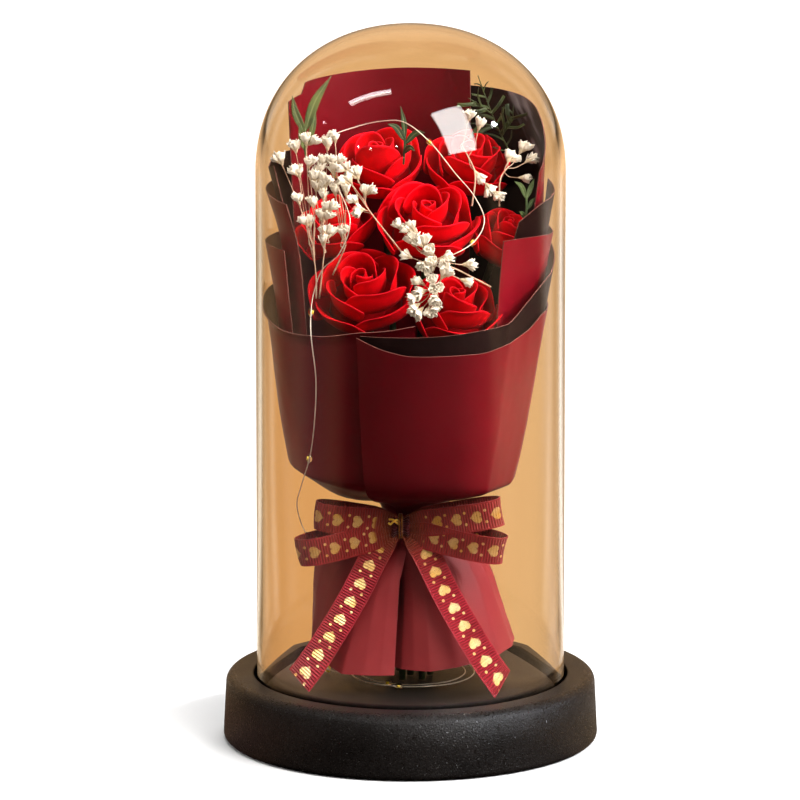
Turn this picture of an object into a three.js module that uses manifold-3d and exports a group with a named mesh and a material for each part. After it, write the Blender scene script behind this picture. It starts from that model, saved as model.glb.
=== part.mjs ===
// A bunch of preserved roses in two-tone paper, kept under a clear dome on a round base
// Millimetres, +Z up, origin at the middle of the base's underside, front towards -Y

import * as THREE from "three";
import { mergeVertices } from "three/addons/utils/BufferGeometryUtils.js";
import Module from "manifold-3d";

const wasm = await Module();
wasm.setup();

// Driving dimensions

const GAP = 0.3;
const ROUND_SIDES = 32;

const BASE_RADIUS = 66.5;
const BASE_HEIGHT = 23.3;
const BASE_FOOT_ROUND = 2;
const BASE_SHOULDER_ROUND = 3.4;
const BASE_SHOULDER_RADIUS = 65.6;
const GROOVE_OUTER = 55.65;
const GROOVE_INNER = 50.3;
const GROOVE_FLOOR = 17;
const PLATFORM_ROUND = 1.2;
const WIRE_HOLE = { x: 3, y: 17, radius: 1.2, depth: 6 };

const DOME_RADIUS = 54.6;
const DOME_WALL = 2;
const DOME_SPRING = 203.3;
const DOME_CAP = 52.5;
const DOME_SQUARENESS = 2.17;
const DOME_CAP_STEPS = 5;

const STEM_RADIUS = 1.2;
const STEM_SIDES = 5;
const STEM_STEPS = 6;
const STEM_RING = 2.9;
const STEM_FOOT_RING = 7;
const NECK_HEIGHT = 82;

const PAPER_THICKNESS = 0.35;
const PAPER_PITCH_TOP = 1.25;
const PAPER_PITCH_NECK = 0.9;
const NECK_RADIUS = 11;

const RIBBON_WIDTH = 9.9;
const RIBBON_THICKNESS = 0.5;

const WIRE_DIAMETER = 0.6;
const WIRE_STEPS = 60;
const BEAD_RADIUS = 1;
const BEAD_LENGTH = 3;

// Colours and finishes

const paint = (color, roughness, metalness = 0) =>
  new THREE.MeshStandardMaterial({ color, roughness, metalness });
const FINISH = {
  base: () => paint(0x1b1614, 0.5),
  dome: () =>
    new THREE.MeshStandardMaterial({
      color: 0xf7efe0,
      roughness: 0.03,
      transparent: true,
      opacity: 0.25,
    }),
  petal: () => paint(0xb0060c, 0.55),
  stem: () => paint(0x3c5a26, 0.6),
  burgundy: () => paint(0x5c0d14, 0.5),
  black: () => paint(0x14100f, 0.5),
  ribbon: () => paint(0x6e0f18, 0.6),
  gold: () => paint(0xd9a32a, 0.3, 1),
  floret: () => paint(0xeee3cf, 0.8),
  leaf: () => paint(0x3d4a1c, 0.55),
  wire: () => paint(0xb9a184, 0.35, 1),
  bead: () => paint(0xf3e7c8, 0.15),
};

// Solids: joining, cutting and closed skins

function bare(geometry) {
  const copy = geometry.clone();
  for (const key of Object.keys(copy.attributes)) {
    if (key !== "position") copy.deleteAttribute(key);
  }
  return mergeVertices(copy, 1e-4);
}

function toSolid(geometry) {
  const merged = bare(geometry);
  const mesh = new wasm.Mesh({
    numProp: 3,
    vertProperties: new Float32Array(merged.attributes.position.array),
    triVerts: new Uint32Array(merged.index.array),
  });
  return new wasm.Manifold(mesh);
}

function toGeometry(solid) {
  const { vertProperties, triVerts, numProp } = solid.getMesh();
  const geometry = new THREE.BufferGeometry();
  const count = vertProperties.length / numProp;
  const position = new Float32Array(count * 3);
  for (let i = 0; i < count; i += 1) {
    for (let k = 0; k < 3; k += 1) position[i * 3 + k] = vertProperties[i * numProp + k];
  }
  geometry.setAttribute("position", new THREE.BufferAttribute(position, 3));
  geometry.setIndex(Array.from(triVerts));
  return geometry;
}

function joined(geometries) {
  let whole = toSolid(geometries[0]);
  for (const geometry of geometries.slice(1)) whole = whole.add(toSolid(geometry));
  return toGeometry(whole);
}

function facing(geometry) {
  const index = geometry.index.array;
  const at = geometry.attributes.position;
  const [a, b, c] = [new THREE.Vector3(), new THREE.Vector3(), new THREE.Vector3()];
  let volume = 0;
  for (let i = 0; i < index.length; i += 3) {
    a.fromBufferAttribute(at, index[i]);
    b.fromBufferAttribute(at, index[i + 1]);
    c.fromBufferAttribute(at, index[i + 2]);
    volume += a.dot(b.cross(c)) / 6;
  }
  if (volume < 0) {
    const turned = Array.from(index);
    for (let i = 0; i < turned.length; i += 3) [turned[i], turned[i + 1]] = [turned[i + 1], turned[i]];
    geometry.setIndex(turned);
  }
  return geometry;
}

// A thin closed skin on both sides of a grid of points
function skin(grid, normals, thickness) {
  const rows = grid.length;
  const columns = grid[0].length;
  const half = thickness / 2;
  const positions = [];
  for (const side of [half, -half]) {
    for (let i = 0; i < rows; i += 1) {
      for (let j = 0; j < columns; j += 1) {
        const p = grid[i][j].clone().addScaledVector(normals[i][j], side);
        positions.push(p.x, p.y, p.z);
      }
    }
  }
  const at = (side, i, j) => side * rows * columns + i * columns + j;
  const faces = [];
  const quad = (a, b, c, d) => faces.push(a, b, c, a, c, d);
  for (let i = 0; i < rows - 1; i += 1) {
    for (let j = 0; j < columns - 1; j += 1) {
      quad(at(0, i, j), at(0, i + 1, j), at(0, i + 1, j + 1), at(0, i, j + 1));
      quad(at(1, i, j), at(1, i, j + 1), at(1, i + 1, j + 1), at(1, i + 1, j));
    }
  }
  for (let j = 0; j < columns - 1; j += 1) {
    quad(at(0, 0, j), at(0, 0, j + 1), at(1, 0, j + 1), at(1, 0, j));
    quad(at(0, rows - 1, j + 1), at(0, rows - 1, j), at(1, rows - 1, j), at(1, rows - 1, j + 1));
  }
  for (let i = 0; i < rows - 1; i += 1) {
    quad(at(0, i + 1, 0), at(0, i, 0), at(1, i, 0), at(1, i + 1, 0));
    const end = columns - 1;
    quad(at(0, i, end), at(0, i + 1, end), at(1, i + 1, end), at(1, i, end));
  }
  const geometry = new THREE.BufferGeometry();
  geometry.setAttribute("position", new THREE.Float32BufferAttribute(positions, 3));
  geometry.setIndex(faces);
  return facing(geometry);
}

// A turned solid from a profile of [radius, height] that starts and ends on the axis
function turned(profile, sides = ROUND_SIDES) {
  const points = profile.map(([r, z]) => new THREE.Vector2(r, z));
  const geometry = new THREE.LatheGeometry(points, sides);
  geometry.rotateX(Math.PI / 2);
  return facing(bare(dropSlivers(geometry)));
}

function dropSlivers(geometry) {
  const merged = bare(geometry);
  const index = merged.index.array;
  const kept = [];
  for (let i = 0; i < index.length; i += 3) {
    const [a, b, c] = [index[i], index[i + 1], index[i + 2]];
    if (a !== b && b !== c && c !== a) kept.push(a, b, c);
  }
  merged.setIndex(kept);
  return merged;
}

function tube(path, radius, sides, steps) {
  const section = new THREE.Shape();
  for (let i = 0; i < sides; i += 1) {
    const angle = (i / sides) * 2 * Math.PI;
    const [x, y] = [radius * Math.cos(angle), radius * Math.sin(angle)];
    if (i === 0) section.moveTo(x, y);
    else section.lineTo(x, y);
  }
  section.closePath();
  const geometry = new THREE.ExtrudeGeometry(section, { steps, extrudePath: path, bevelEnabled: false });
  return facing(dropSlivers(geometry));
}

const vec = (x, y, z) => new THREE.Vector3(x, y, z);
const smooth = (points) =>
  new THREE.CatmullRomCurve3(
    points.map(([x, y, z]) => vec(x, y, z)),
    false,
    "catmullrom",
    0.5
  );
const degrees = (value) => (value * Math.PI) / 180;

// Round the bunch: 0 degrees faces the front, 90 faces +X
const around = (theta, r, z) => vec(r * Math.sin(degrees(theta)), -r * Math.cos(degrees(theta)), z);

// Value at theta from stations of [theta, value...], straight between them
function between(stations, theta) {
  if (theta <= stations[0][0]) return stations[0].slice(1);
  for (let i = 1; i < stations.length; i += 1) {
    const [low, high] = [stations[i - 1], stations[i]];
    if (theta <= high[0]) {
      const share = (theta - low[0]) / (high[0] - low[0]);
      return low.slice(1).map((value, k) => value + (high[k + 1] - value) * share);
    }
  }
  return stations[stations.length - 1].slice(1);
}

// Base: a turned block with a groove for the dome and a small hole for the light wire

function arc(cx, cz, radius, from, to, steps) {
  const points = [];
  for (let i = 0; i <= steps; i += 1) {
    const angle = degrees(from + ((to - from) * i) / steps);
    points.push([cx + radius * Math.cos(angle), cz + radius * Math.sin(angle)]);
  }
  return points;
}

function baseGeometry() {
  const footCentre = BASE_RADIUS - BASE_FOOT_ROUND;
  const shoulderCentre = BASE_SHOULDER_RADIUS - BASE_SHOULDER_ROUND;
  const block = turned([
    [0, 0],
    ...arc(footCentre, BASE_FOOT_ROUND, BASE_FOOT_ROUND, -90, 0, 2),
    ...arc(shoulderCentre, BASE_HEIGHT - BASE_SHOULDER_ROUND, BASE_SHOULDER_ROUND, 0, 90, 3),
    [GROOVE_OUTER, BASE_HEIGHT],
    [GROOVE_OUTER, GROOVE_FLOOR],
    [GROOVE_INNER, GROOVE_FLOOR],
    [GROOVE_INNER, BASE_HEIGHT - PLATFORM_ROUND],
    [GROOVE_INNER - PLATFORM_ROUND, BASE_HEIGHT],
    [0, BASE_HEIGHT],
  ]);
  const drill = new THREE.CylinderGeometry(WIRE_HOLE.radius, WIRE_HOLE.radius, WIRE_HOLE.depth * 2, 12);
  drill.rotateX(Math.PI / 2);
  drill.translate(WIRE_HOLE.x, WIRE_HOLE.y, BASE_HEIGHT);
  return toGeometry(toSolid(block).subtract(toSolid(drill)));
}

// Dome: a clear bell, open below, whose lip stands in the groove

function domeProfile(radius, cap) {
  const points = [];
  for (let i = 0; i <= DOME_CAP_STEPS; i += 1) {
    const angle = (i / DOME_CAP_STEPS) * (Math.PI / 2);
    const power = 2 / DOME_SQUARENESS;
    const r = i === DOME_CAP_STEPS ? 0 : radius * Math.cos(angle) ** power;
    points.push([r, DOME_SPRING + cap * Math.sin(angle) ** power]);
  }
  return points;
}

function domeGeometry() {
  const lip = GROOVE_FLOOR + GAP;
  const outer = domeProfile(DOME_RADIUS, DOME_CAP);
  const inner = domeProfile(DOME_RADIUS - DOME_WALL, DOME_CAP - DOME_WALL);
  return turned([...inner.reverse(), [DOME_RADIUS - DOME_WALL, lip], [DOME_RADIUS, lip], ...outer]);
}

// Roses: rows of petals as lobed ridges round a bud, on a rounded underside

const PETAL_ROWS = [
  { out: 0.17, top: 1.0, foot: 0.82, lobes: 2, depth: 0.1 },
  { out: 0.38, top: 0.97, foot: 0.7, lobes: 3, depth: 0.1 },
  { out: 0.6, top: 0.88, foot: 0.55, lobes: 3, depth: 0.09 },
  { out: 0.82, top: 0.76, foot: 0.47, lobes: 4, depth: 0.07 },
];
const BLOOM_SIDES = 12;

function bloomGeometry(radius, height, turn) {
  const rings = [];
  const lobed = (row, share, angle) => {
    const wave = Math.abs(Math.cos((row.lobes / 2) * (angle - turn - row.out * 7)));
    return radius * share * (1 + row.depth * (wave - 0.6));
  };
  for (const row of PETAL_ROWS) {
    rings.push((angle) => [lobed(row, row.out, angle), height * row.top]);
    rings.push((angle) => [lobed(row, row.out + 0.06, angle), height * row.foot]);
  }
  const skirt = { lobes: 5, depth: 0.08, out: 1 };
  rings.push((angle) => [lobed(skirt, 0.98, angle), height * 0.62]);
  rings.push((angle) => [lobed(skirt, 0.94, angle), height * 0.44]);
  rings.push(() => [radius * 0.62, height * 0.13]);
  rings.push(() => [radius * 0.2, 0]);
  const positions = [0, 0, height * 0.84];
  for (const ring of rings) {
    for (let k = 0; k < BLOOM_SIDES; k += 1) {
      const angle = (k / BLOOM_SIDES) * 2 * Math.PI;
      const [r, z] = ring(angle);
      positions.push(r * Math.cos(angle), r * Math.sin(angle), z);
    }
  }
  positions.push(0, 0, 0);
  const last = positions.length / 3 - 1;
  const at = (i, k) => 1 + i * BLOOM_SIDES + (k % BLOOM_SIDES);
  const faces = [];
  for (let k = 0; k < BLOOM_SIDES; k += 1) {
    faces.push(0, at(0, k), at(0, k + 1));
    for (let i = 0; i < rings.length - 1; i += 1) {
      faces.push(at(i, k), at(i + 1, k), at(i + 1, k + 1), at(i, k), at(i + 1, k + 1), at(i, k + 1));
    }
    faces.push(last, at(rings.length - 1, k + 1), at(rings.length - 1, k));
  }
  const geometry = new THREE.BufferGeometry();
  geometry.setAttribute("position", new THREE.Float32BufferAttribute(positions, 3));
  geometry.setIndex(faces);
  return facing(geometry);
}

// Each rose: the middle of the bloom, its size, and how its face leans from straight up
const ROSES = [
  { name: "rose_back_left", at: [-11.5, 16, 205], radius: 15.5, height: 21, lean: 38, towards: -12 },
  { name: "rose_back_right", at: [20.5, 17, 205], radius: 15, height: 20, lean: 34, towards: 12 },
  { name: "rose_centre", at: [6, -7, 189], radius: 17.3, height: 22, lean: 36, towards: 4 },
  { name: "rose_left", at: [-27, 4, 185], radius: 13.8, height: 20, lean: 36, towards: -40 },
  { name: "rose_front_left", at: [-16.5, -19.5, 166], radius: 18.2, height: 22, lean: 38, towards: -14 },
  { name: "rose_front_right", at: [15.5, -20.5, 160], radius: 15.6, height: 21, lean: 34, towards: 16 },
  { name: "rose_right", at: [33.2, 2, 181], radius: 11.8, height: 19, lean: 32, towards: 50 },
];
const BLOOM_MIDDLE = 0.58;

function bloomAxis(rose) {
  return around(rose.towards, Math.sin(degrees(rose.lean)), Math.cos(degrees(rose.lean)));
}

function bloomFoot(rose) {
  return vec(...rose.at).addScaledVector(bloomAxis(rose), -rose.height * BLOOM_MIDDLE);
}

function bloomMesh(rose, index) {
  const mesh = new THREE.Mesh(bloomGeometry(rose.radius, rose.height, index * 1.3), FINISH.petal());
  mesh.name = rose.name;
  mesh.quaternion.setFromUnitVectors(vec(0, 0, 1), bloomAxis(rose));
  mesh.position.copy(bloomFoot(rose));
  return mesh;
}

// Stems: from under each bloom, through the tied neck, down to the platform

const STEM_BEARING = [215, 155, 0, 275, 335, 35, 95];

function stemGeometry(rose, index) {
  const bearing = STEM_BEARING[index];
  const ring = bearing === 0 ? 0 : 1;
  const top = bloomFoot(rose).addScaledVector(bloomAxis(rose), -GAP);
  const under = bloomFoot(rose).addScaledVector(bloomAxis(rose), -7);
  const above = around(bearing, ring * STEM_RING * 1.6, NECK_HEIGHT + 14);
  const neck = around(bearing, ring * STEM_RING, NECK_HEIGHT);
  const foot = around(bearing, ring * STEM_FOOT_RING, BASE_HEIGHT + GAP);
  const path = new THREE.CatmullRomCurve3([top, under, above, neck, foot], false, "catmullrom", 0.35);
  return tube(path, STEM_RADIUS, STEM_SIDES, STEM_STEPS);
}

// Paper: sheets gathered at the neck, listed from the outermost inwards

const CORNER = [
  [-180, 41, 97, 8],
  [-120, 45, 97, 6],
  [-90, 46.8, 96, 6],
  [-60, 43.5, 95.5, 8],
  [-24, 39, 94.5, 9],
  [15, 37.5, 94, 9],
  [50, 36.5, 93.5, 5],
  [75, 36, 93, 2],
  [110, 37, 93, 3],
  [150, 40, 95, 8],
  [180, 41, 97, 8],
  [240, 45, 97, 6],
  [270, 46.8, 96, 6],
];
const UNDERSIDE = [21, 89.8];
const NECK_PROFILE = [
  [NECK_RADIUS + 2.2, NECK_HEIGHT + 3.4],
  [NECK_RADIUS + 0.6, NECK_HEIGHT],
];
const NECK_FLARE = [NECK_RADIUS + 2.2, NECK_HEIGHT - 3.6];
const SKIRT_MIDDLE = [
  [-112, 34.5, 63],
  [-98, 35.8, 64],
  [-70, 30, 62],
  [-42, 22.5, 60],
  [-10, 20, 60],
  [2, 16.5, 60],
  [14, 20, 60],
  [45, 23.5, 60],
  [77, 27, 62],
  [100, 28, 62],
  [147, 27, 62],
  [180, 27, 62],
  [222, 30, 62],
  [262, 35.5, 63.5],
];
const SKIRT_HEM = [
  [-112, 36.4, 37],
  [-98, 36.8, 37.6],
  [-70, 37, 33.5],
  [-42, 37, 30.6],
  [-10, 29.5, 31.5],
  [2, 25, 32.4],
  [14, 28.9, 32.4],
  [45, 34, 33.5],
  [77, 36.9, 34.7],
  [100, 37, 36],
  [147, 35, 35],
  [180, 34, 34],
  [222, 35.5, 36],
  [262, 36.8, 37.4],
];

// rim and fold are stations of [theta, radius, height]; tail says whether the sheet
// also flares below the tie
const SHEETS = [
  {
    name: "paper_front_right",
    finish: FINISH.burgundy,
    angles: [-24, -10, 2, 14, 30, 45, 62, 76, 90, 104],
    rim: [
      [-24, 46, 153.2], [-10, 47, 149.3], [2, 47, 147.5], [30, 46.8, 147.2], [60, 47.6, 151],
      [77, 48.4, 156.5], [100, 48.4, 158],
    ],
    tail: true,
  },
  {
    name: "paper_front_collar",
    finish: FINISH.black,
    angles: [-23, -10, 2, 14, 30, 45, 62, 76, 90, 104],
    rim: [
      [-23, 44.7, 153.7], [10, 45.5, 154], [45, 46.6, 156], [60, 47.8, 161], [75, 49.6, 168.5],
      [90, 50.9, 174.5], [107, 51.2, 178],
    ],
  },
  {
    name: "paper_front_left",
    finish: FINISH.burgundy,
    angles: [-112, -98, -84, -70, -56, -42, -24, -10, 2],
    rim: [
      [-112, 50.6, 161], [-96, 51.2, 160], [-80, 51, 157.5], [-65, 50.3, 153], [-50, 48.5, 151.8],
      [-40, 46.4, 152.8], [-24, 43.2, 154.6], [-10, 42.8, 156], [6, 42.4, 158.4],
    ],
    tail: true,
  },
  {
    name: "paper_left_lower",
    finish: FINISH.burgundy,
    angles: [-118, -104, -90, -76, -62],
    fold: [[-118, 48, 158], [-62, 47, 158]],
    rim: [[-118, 50.4, 179], [-90, 51.2, 180], [-62, 49.2, 180.5]],
  },
  {
    name: "paper_right_panel",
    finish: FINISH.burgundy,
    angles: [50, 62, 76, 90, 104],
    rim: [[50, 42.5, 184.5], [64, 44.5, 184], [77, 48, 183.5], [90, 50.2, 183], [104, 50.4, 183]],
    order: 3,
  },
  {
    name: "paper_left_middle",
    finish: FINISH.burgundy,
    angles: [-118, -104, -90, -76, -58],
    fold: [[-122, 45.6, 178], [-58, 45, 178]],
    rim: [[-122, 49.6, 199], [-90, 51, 199], [-58, 50, 197.5]],
    order: 4,
  },
  {
    name: "paper_right_middle",
    finish: FINISH.black,
    angles: [62, 76, 90, 104],
    fold: [[62, 41.8, 182], [75, 45.4, 182], [88, 48, 182], [112, 48.4, 182]],
    rim: [[62, 44.2, 190], [75, 48.8, 196], [88, 50.8, 198], [112, 50.8, 200]],
    order: 4,
  },
  {
    name: "paper_left_upper",
    finish: FINISH.black,
    angles: [-140, -122, -104, -90, -74],
    fold: [[-140, 43.6, 178], [-106, 43.6, 178], [-72, 42.8, 178]],
    rim: [[-140, 47, 207], [-106, 49.8, 208], [-89, 49.8, 206], [-72, 49, 209]],
    order: 5,
  },
  {
    name: "paper_back_right",
    finish: FINISH.black,
    angles: [76, 90, 104, 120, 139, 158],
    fold: [[76, 43.8, 184], [90, 46.3, 184], [104, 46.8, 184], [158, 43.4, 184]],
    rim: [[76, 46.4, 206], [90, 47.4, 214], [104, 45.6, 223], [139, 42.6, 229], [158, 41.6, 229]],
    tail: true,
    order: 5,
  },
  {
    name: "paper_back_tall",
    finish: FINISH.burgundy,
    angles: [147, 163, 180, 198, 222, 242, 262],
    fold: [[147, 39.5, 184], [180, 40.5, 184], [222, 41, 184], [262, 41.4, 184]],
    rim: [[147, 39.4, 235], [180, 37.6, 235.3], [212, 40, 233], [235, 43.6, 229], [262, 43.6, 229]],
    tail: true,
    order: 6,
  },
];

// The bent profile of one sheet at theta, from rim to neck or hem, as [radius, height]
function paperProfile(sheet, theta, order) {
  const [cornerRadius, cornerHeight, outerBend] = between(CORNER, theta);
  const bend = Math.max(outerBend, order * PAPER_PITCH_TOP + 1);
  const shared = [UNDERSIDE, ...NECK_PROFILE];
  if (sheet.tail) shared.push(NECK_FLARE, between(SKIRT_MIDDLE, theta), between(SKIRT_HEM, theta));
  const upper = sheet.fold ? between(sheet.fold, theta) : between(sheet.rim, theta);
  const towards = (from, to, length) => {
    const span = Math.hypot(to[0] - from[0], to[1] - from[1]);
    return from.map((value, k) => value + ((to[k] - value) * length) / span);
  };
  const corner = [cornerRadius, cornerHeight];
  const above = towards(corner, upper, bend);
  const below = towards(corner, UNDERSIDE, bend);
  const middle = corner.map((value, k) => value / 2 + (above[k] + below[k]) / 4);
  const gathered = [above, middle, below, ...shared];
  const moved = gathered.map((point, i) => {
    const before = i === 0 ? upper : gathered[i - 1];
    const after = i === gathered.length - 1 ? point : gathered[i + 1];
    const [dr, dz] = [after[0] - before[0], after[1] - before[1]];
    const length = Math.hypot(dr, dz);
    const pitch = i < 3 ? PAPER_PITCH_TOP : PAPER_PITCH_NECK;
    return [point[0] + (dz / length) * pitch * order, point[1] - (dr / length) * pitch * order];
  });
  const top = sheet.fold ? [between(sheet.rim, theta), upper] : [upper];
  return [...top, ...moved];
}

function paperGeometry(sheet, order) {
  const profiles = sheet.angles.map((theta) => paperProfile(sheet, theta, order));
  const grid = profiles.map((profile, i) => profile.map(([r, z]) => around(sheet.angles[i], r, z)));
  const normals = profiles.map((profile, i) =>
    profile.map((point, j) => {
      const before = profile[Math.max(j - 1, 0)];
      const after = profile[Math.min(j + 1, profile.length - 1)];
      const [dr, dz] = [after[0] - before[0], after[1] - before[1]];
      const length = Math.hypot(dr, dz);
      return around(sheet.angles[i], -dz / length, dr / length);
    })
  );
  return skin(grid, normals, PAPER_THICKNESS);
}

// Ribbon: one length of grosgrain folded into four loops and two tails, cinched in a knot

const KNOT = vec(-3.5, -16.9, 80.2);
const LOOPS = [
  { tip: vec(-30, -4, 4.4), across: vec(0.08, 0, 1), rise: 0.8, belly: 4.4 },
  { tip: vec(-36, -6, -7), across: vec(-0.22, -0.1, 1), rise: -1, belly: 4.2 },
  { tip: vec(35, -6.5, 6.6), across: vec(-0.16, 0, 1), rise: 0.4, belly: 4 },
  { tip: vec(36, -6, -6), across: vec(0.2, -0.1, 1), rise: -1, belly: 4.2 },
];
const LOOP_STEPS = 8;
const GATHER_LENGTH = 10;

function gather(distance) {
  const share = Math.min(distance / GATHER_LENGTH, 1);
  return 0.5 + 0.5 * share * share * (3 - 2 * share);
}

function strip(points, acrosses, cut = 0) {
  const rows = points.length;
  const grid = [];
  const normals = [];
  for (let i = 0; i < rows; i += 1) {
    const along = points[Math.min(i + 1, rows - 1)].clone().sub(points[Math.max(i - 1, 0)]).normalize();
    const across = acrosses[i].clone().addScaledVector(along, -along.dot(acrosses[i])).normalize();
    const half = (RIBBON_WIDTH / 2) * gather(points[i].distanceTo(KNOT));
    const normal = across.clone().cross(along).normalize();
    const slant = i === rows - 1 ? cut / 2 : 0;
    grid.push(
      [-1, 1].map((side) =>
        points[i].clone().addScaledVector(across, side * half).addScaledVector(along, side * slant)
      )
    );
    normals.push([normal, normal]);
  }
  return skin(grid, normals, RIBBON_THICKNESS);
}

function loopGeometry({ tip, across, rise, belly }) {
  const out = tip.clone();
  const front = across.clone().cross(out).normalize();
  if (front.y > 0) front.negate();
  const points = [];
  for (let i = 0; i <= LOOP_STEPS; i += 1) {
    const t = i / LOOP_STEPS;
    const reach = 0.05 + 0.95 * Math.sin(Math.PI * t) ** 0.85;
    const depth = belly * (Math.sin(2 * Math.PI * t) + 0.16 * Math.cos(Math.PI * t));
    const point = KNOT.clone().addScaledVector(out, reach).addScaledVector(front, depth);
    points.push(point.add(vec(0, 0, rise)));
  }
  return strip(points, points.map(() => across.clone().normalize()));
}

const TAILS = [
  {
    route: [
      [-6.2, -17.2, 79], [-11.4, -19.4, 72.5], [-20, -22.6, 56], [-31, -26.6, 38], [-38.6, -28.4, 27.6],
    ],
    across: vec(0.87, -0.12, -0.47),
    cut: 2,
  },
  {
    route: [
      [-0.9, -17.2, 79], [4.6, -20.2, 72.5], [12.8, -25.4, 57], [23.5, -32.6, 39.5], [31.8, -36.8, 28],
    ],
    across: vec(0.84, 0.28, 0.46),
    cut: -5,
  },
];

function tailGeometry({ route, across, cut }) {
  const points = route.map(([x, y, z]) => vec(x, y, z));
  return strip(points, points.map(() => across.clone().normalize()), cut);
}

function knotGeometry() {
  const lump = new THREE.SphereGeometry(1, 8, 5);
  lump.scale(3.1, 2.6, 3.5);
  lump.translate(KNOT.x, KNOT.y, KNOT.z);
  return dropSlivers(lump);
}

function bowGeometry() {
  const pieces = [knotGeometry(), ...LOOPS.map(loopGeometry), ...TAILS.map(tailGeometry)];
  return joined(pieces);
}

// Tie: a gold wire band round the bow's knot, its two ends twisted out in front
function tieGeometry() {
  const band = new THREE.TorusGeometry(1, 0.11, 4, 12);
  band.rotateY(Math.PI / 2);
  band.scale(3.6, 3.3, 4.7);
  band.translate(KNOT.x, KNOT.y, KNOT.z);
  const ends = [
    [[-3.6, -19.6, 81.5], [-5.2, -20.6, 84], [-7.4, -21, 86.4]],
    [[-3.4, -19.6, 81], [-6.2, -21, 82], [-8, -21.2, 81]],
  ].map((route) => tube(smooth(route), 0.42, 3, 2));
  return joined([dropSlivers(band), ...ends]);
}

// Dried sprays and greenery: thin stalks with a bud or a blade at the end of each

const STALK_RADIUS = 0.34;
const STEMLET_RADIUS = 0.5;
const FLORET_SIDES = 4;

function stalk(from, to, radius = STEMLET_RADIUS, sides = 3) {
  const along = to.clone().sub(from);
  const rod = new THREE.CylinderGeometry(radius, radius, along.length(), sides);
  rod.applyQuaternion(new THREE.Quaternion().setFromUnitVectors(vec(0, 1, 0), along.clone().normalize()));
  const middle = from.clone().add(to).multiplyScalar(0.5);
  rod.translate(middle.x, middle.y, middle.z);
  return dropSlivers(rod);
}

// A floret on its stalk: a thin rod that opens into a small bell
function floret(from, tip, size) {
  const along = tip.clone().sub(from);
  const length = along.length();
  const profile = [
    [0, 0],
    [STALK_RADIUS, 0],
    [STALK_RADIUS, length - size],
    [size, length],
    [0, length + size * 0.55],
  ];
  const geometry = new THREE.LatheGeometry(profile.map(([r, y]) => new THREE.Vector2(r, y)), FLORET_SIDES);
  geometry.applyQuaternion(new THREE.Quaternion().setFromUnitVectors(vec(0, 1, 0), along.normalize()));
  geometry.translate(from.x, from.y, from.z);
  return facing(dropSlivers(geometry));
}

const SPRAYS = [
  {
    name: "filler_spray_left",
    stem: [[-34, -25, 163], [-33, -27.5, 172], [-30, -26, 184]],
    tips: [
      [-28, -20, 219], [-38, -20, 217.5], [-44, -17, 211.5], [-21.5, -19, 209], [-32, -23, 208],
      [-38.5, -23, 201.5], [-18.5, -20, 197.5], [-30, -27, 197], [-35.5, -27, 190],
    ],
    size: 3.2,
  },
  {
    name: "filler_spray_middle",
    stem: [[27.5, -31, 168], [17, -35, 175.5], [9.5, -36, 179], [2, -34, 183]],
    tips: [
      [-4, -32, 191], [3, -32, 191.5], [3.5, -38, 176.5], [2, -39, 168], [8, -40.5, 163], [11, -39.5, 170],
      [19.5, -37, 171.5],
    ],
    size: 3,
  },
  {
    name: "filler_spray_right",
    stem: [[24.6, -9, 188], [25, -8, 196], [24, -5, 204]],
    tips: [[20, -7, 224], [24.5, -6, 222], [22.5, -9, 206], [27.5, -10, 201], [30, -10, 197.5]],
    size: 2.4,
  },
  {
    name: "filler_spray_far_right",
    stem: [[37, -12, 192], [38, -6, 199], [38, 0, 205]],
    tips: [[39, 4, 212], [34.5, 2, 209], [43, 4, 208.5], [41, -6, 203]],
    size: 2.4,
  },
];

// A point on a bent stem at a share of its length
function onStem(nodes, share) {
  return new THREE.CatmullRomCurve3(nodes, false, "catmullrom", 0).getPointAt(share);
}

// Each floret or blade leaves the stem at its own place, the highest first
const BRANCHED_SHARE = 0.6;
const leavingShare = (i, count) => 1 - (BRANCHED_SHARE * i) / count;

function sprayGeometry({ stem, tips, size }) {
  const nodes = stem.map(([x, y, z]) => vec(x, y, z));
  const pieces = nodes.slice(1).map((node, i) => stalk(nodes[i], node));
  tips.forEach(([x, y, z], i) => {
    pieces.push(floret(onStem(nodes, leavingShare(i, tips.length)), vec(x, y, z), size));
  });
  return joined(pieces);
}

const FRONT = vec(0, -1, 0);

function blade(foot, tip, width) {
  const along = tip.clone().sub(foot);
  const across = along.clone().cross(FRONT).normalize();
  const normal = across.clone().cross(along).normalize();
  const shape = width > 1.5 ? [0.3, 1, 0.8, 0.12] : [0.5, 1, 0.15];
  const grid = shape.map((share, i) => {
    const middle = foot.clone().addScaledVector(along, i / (shape.length - 1));
    return [-1, 1].map((side) => middle.clone().addScaledVector(across, (side * share * width) / 2));
  });
  return skin(grid, grid.map((row) => row.map(() => normal)), 0.5);
}

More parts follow.
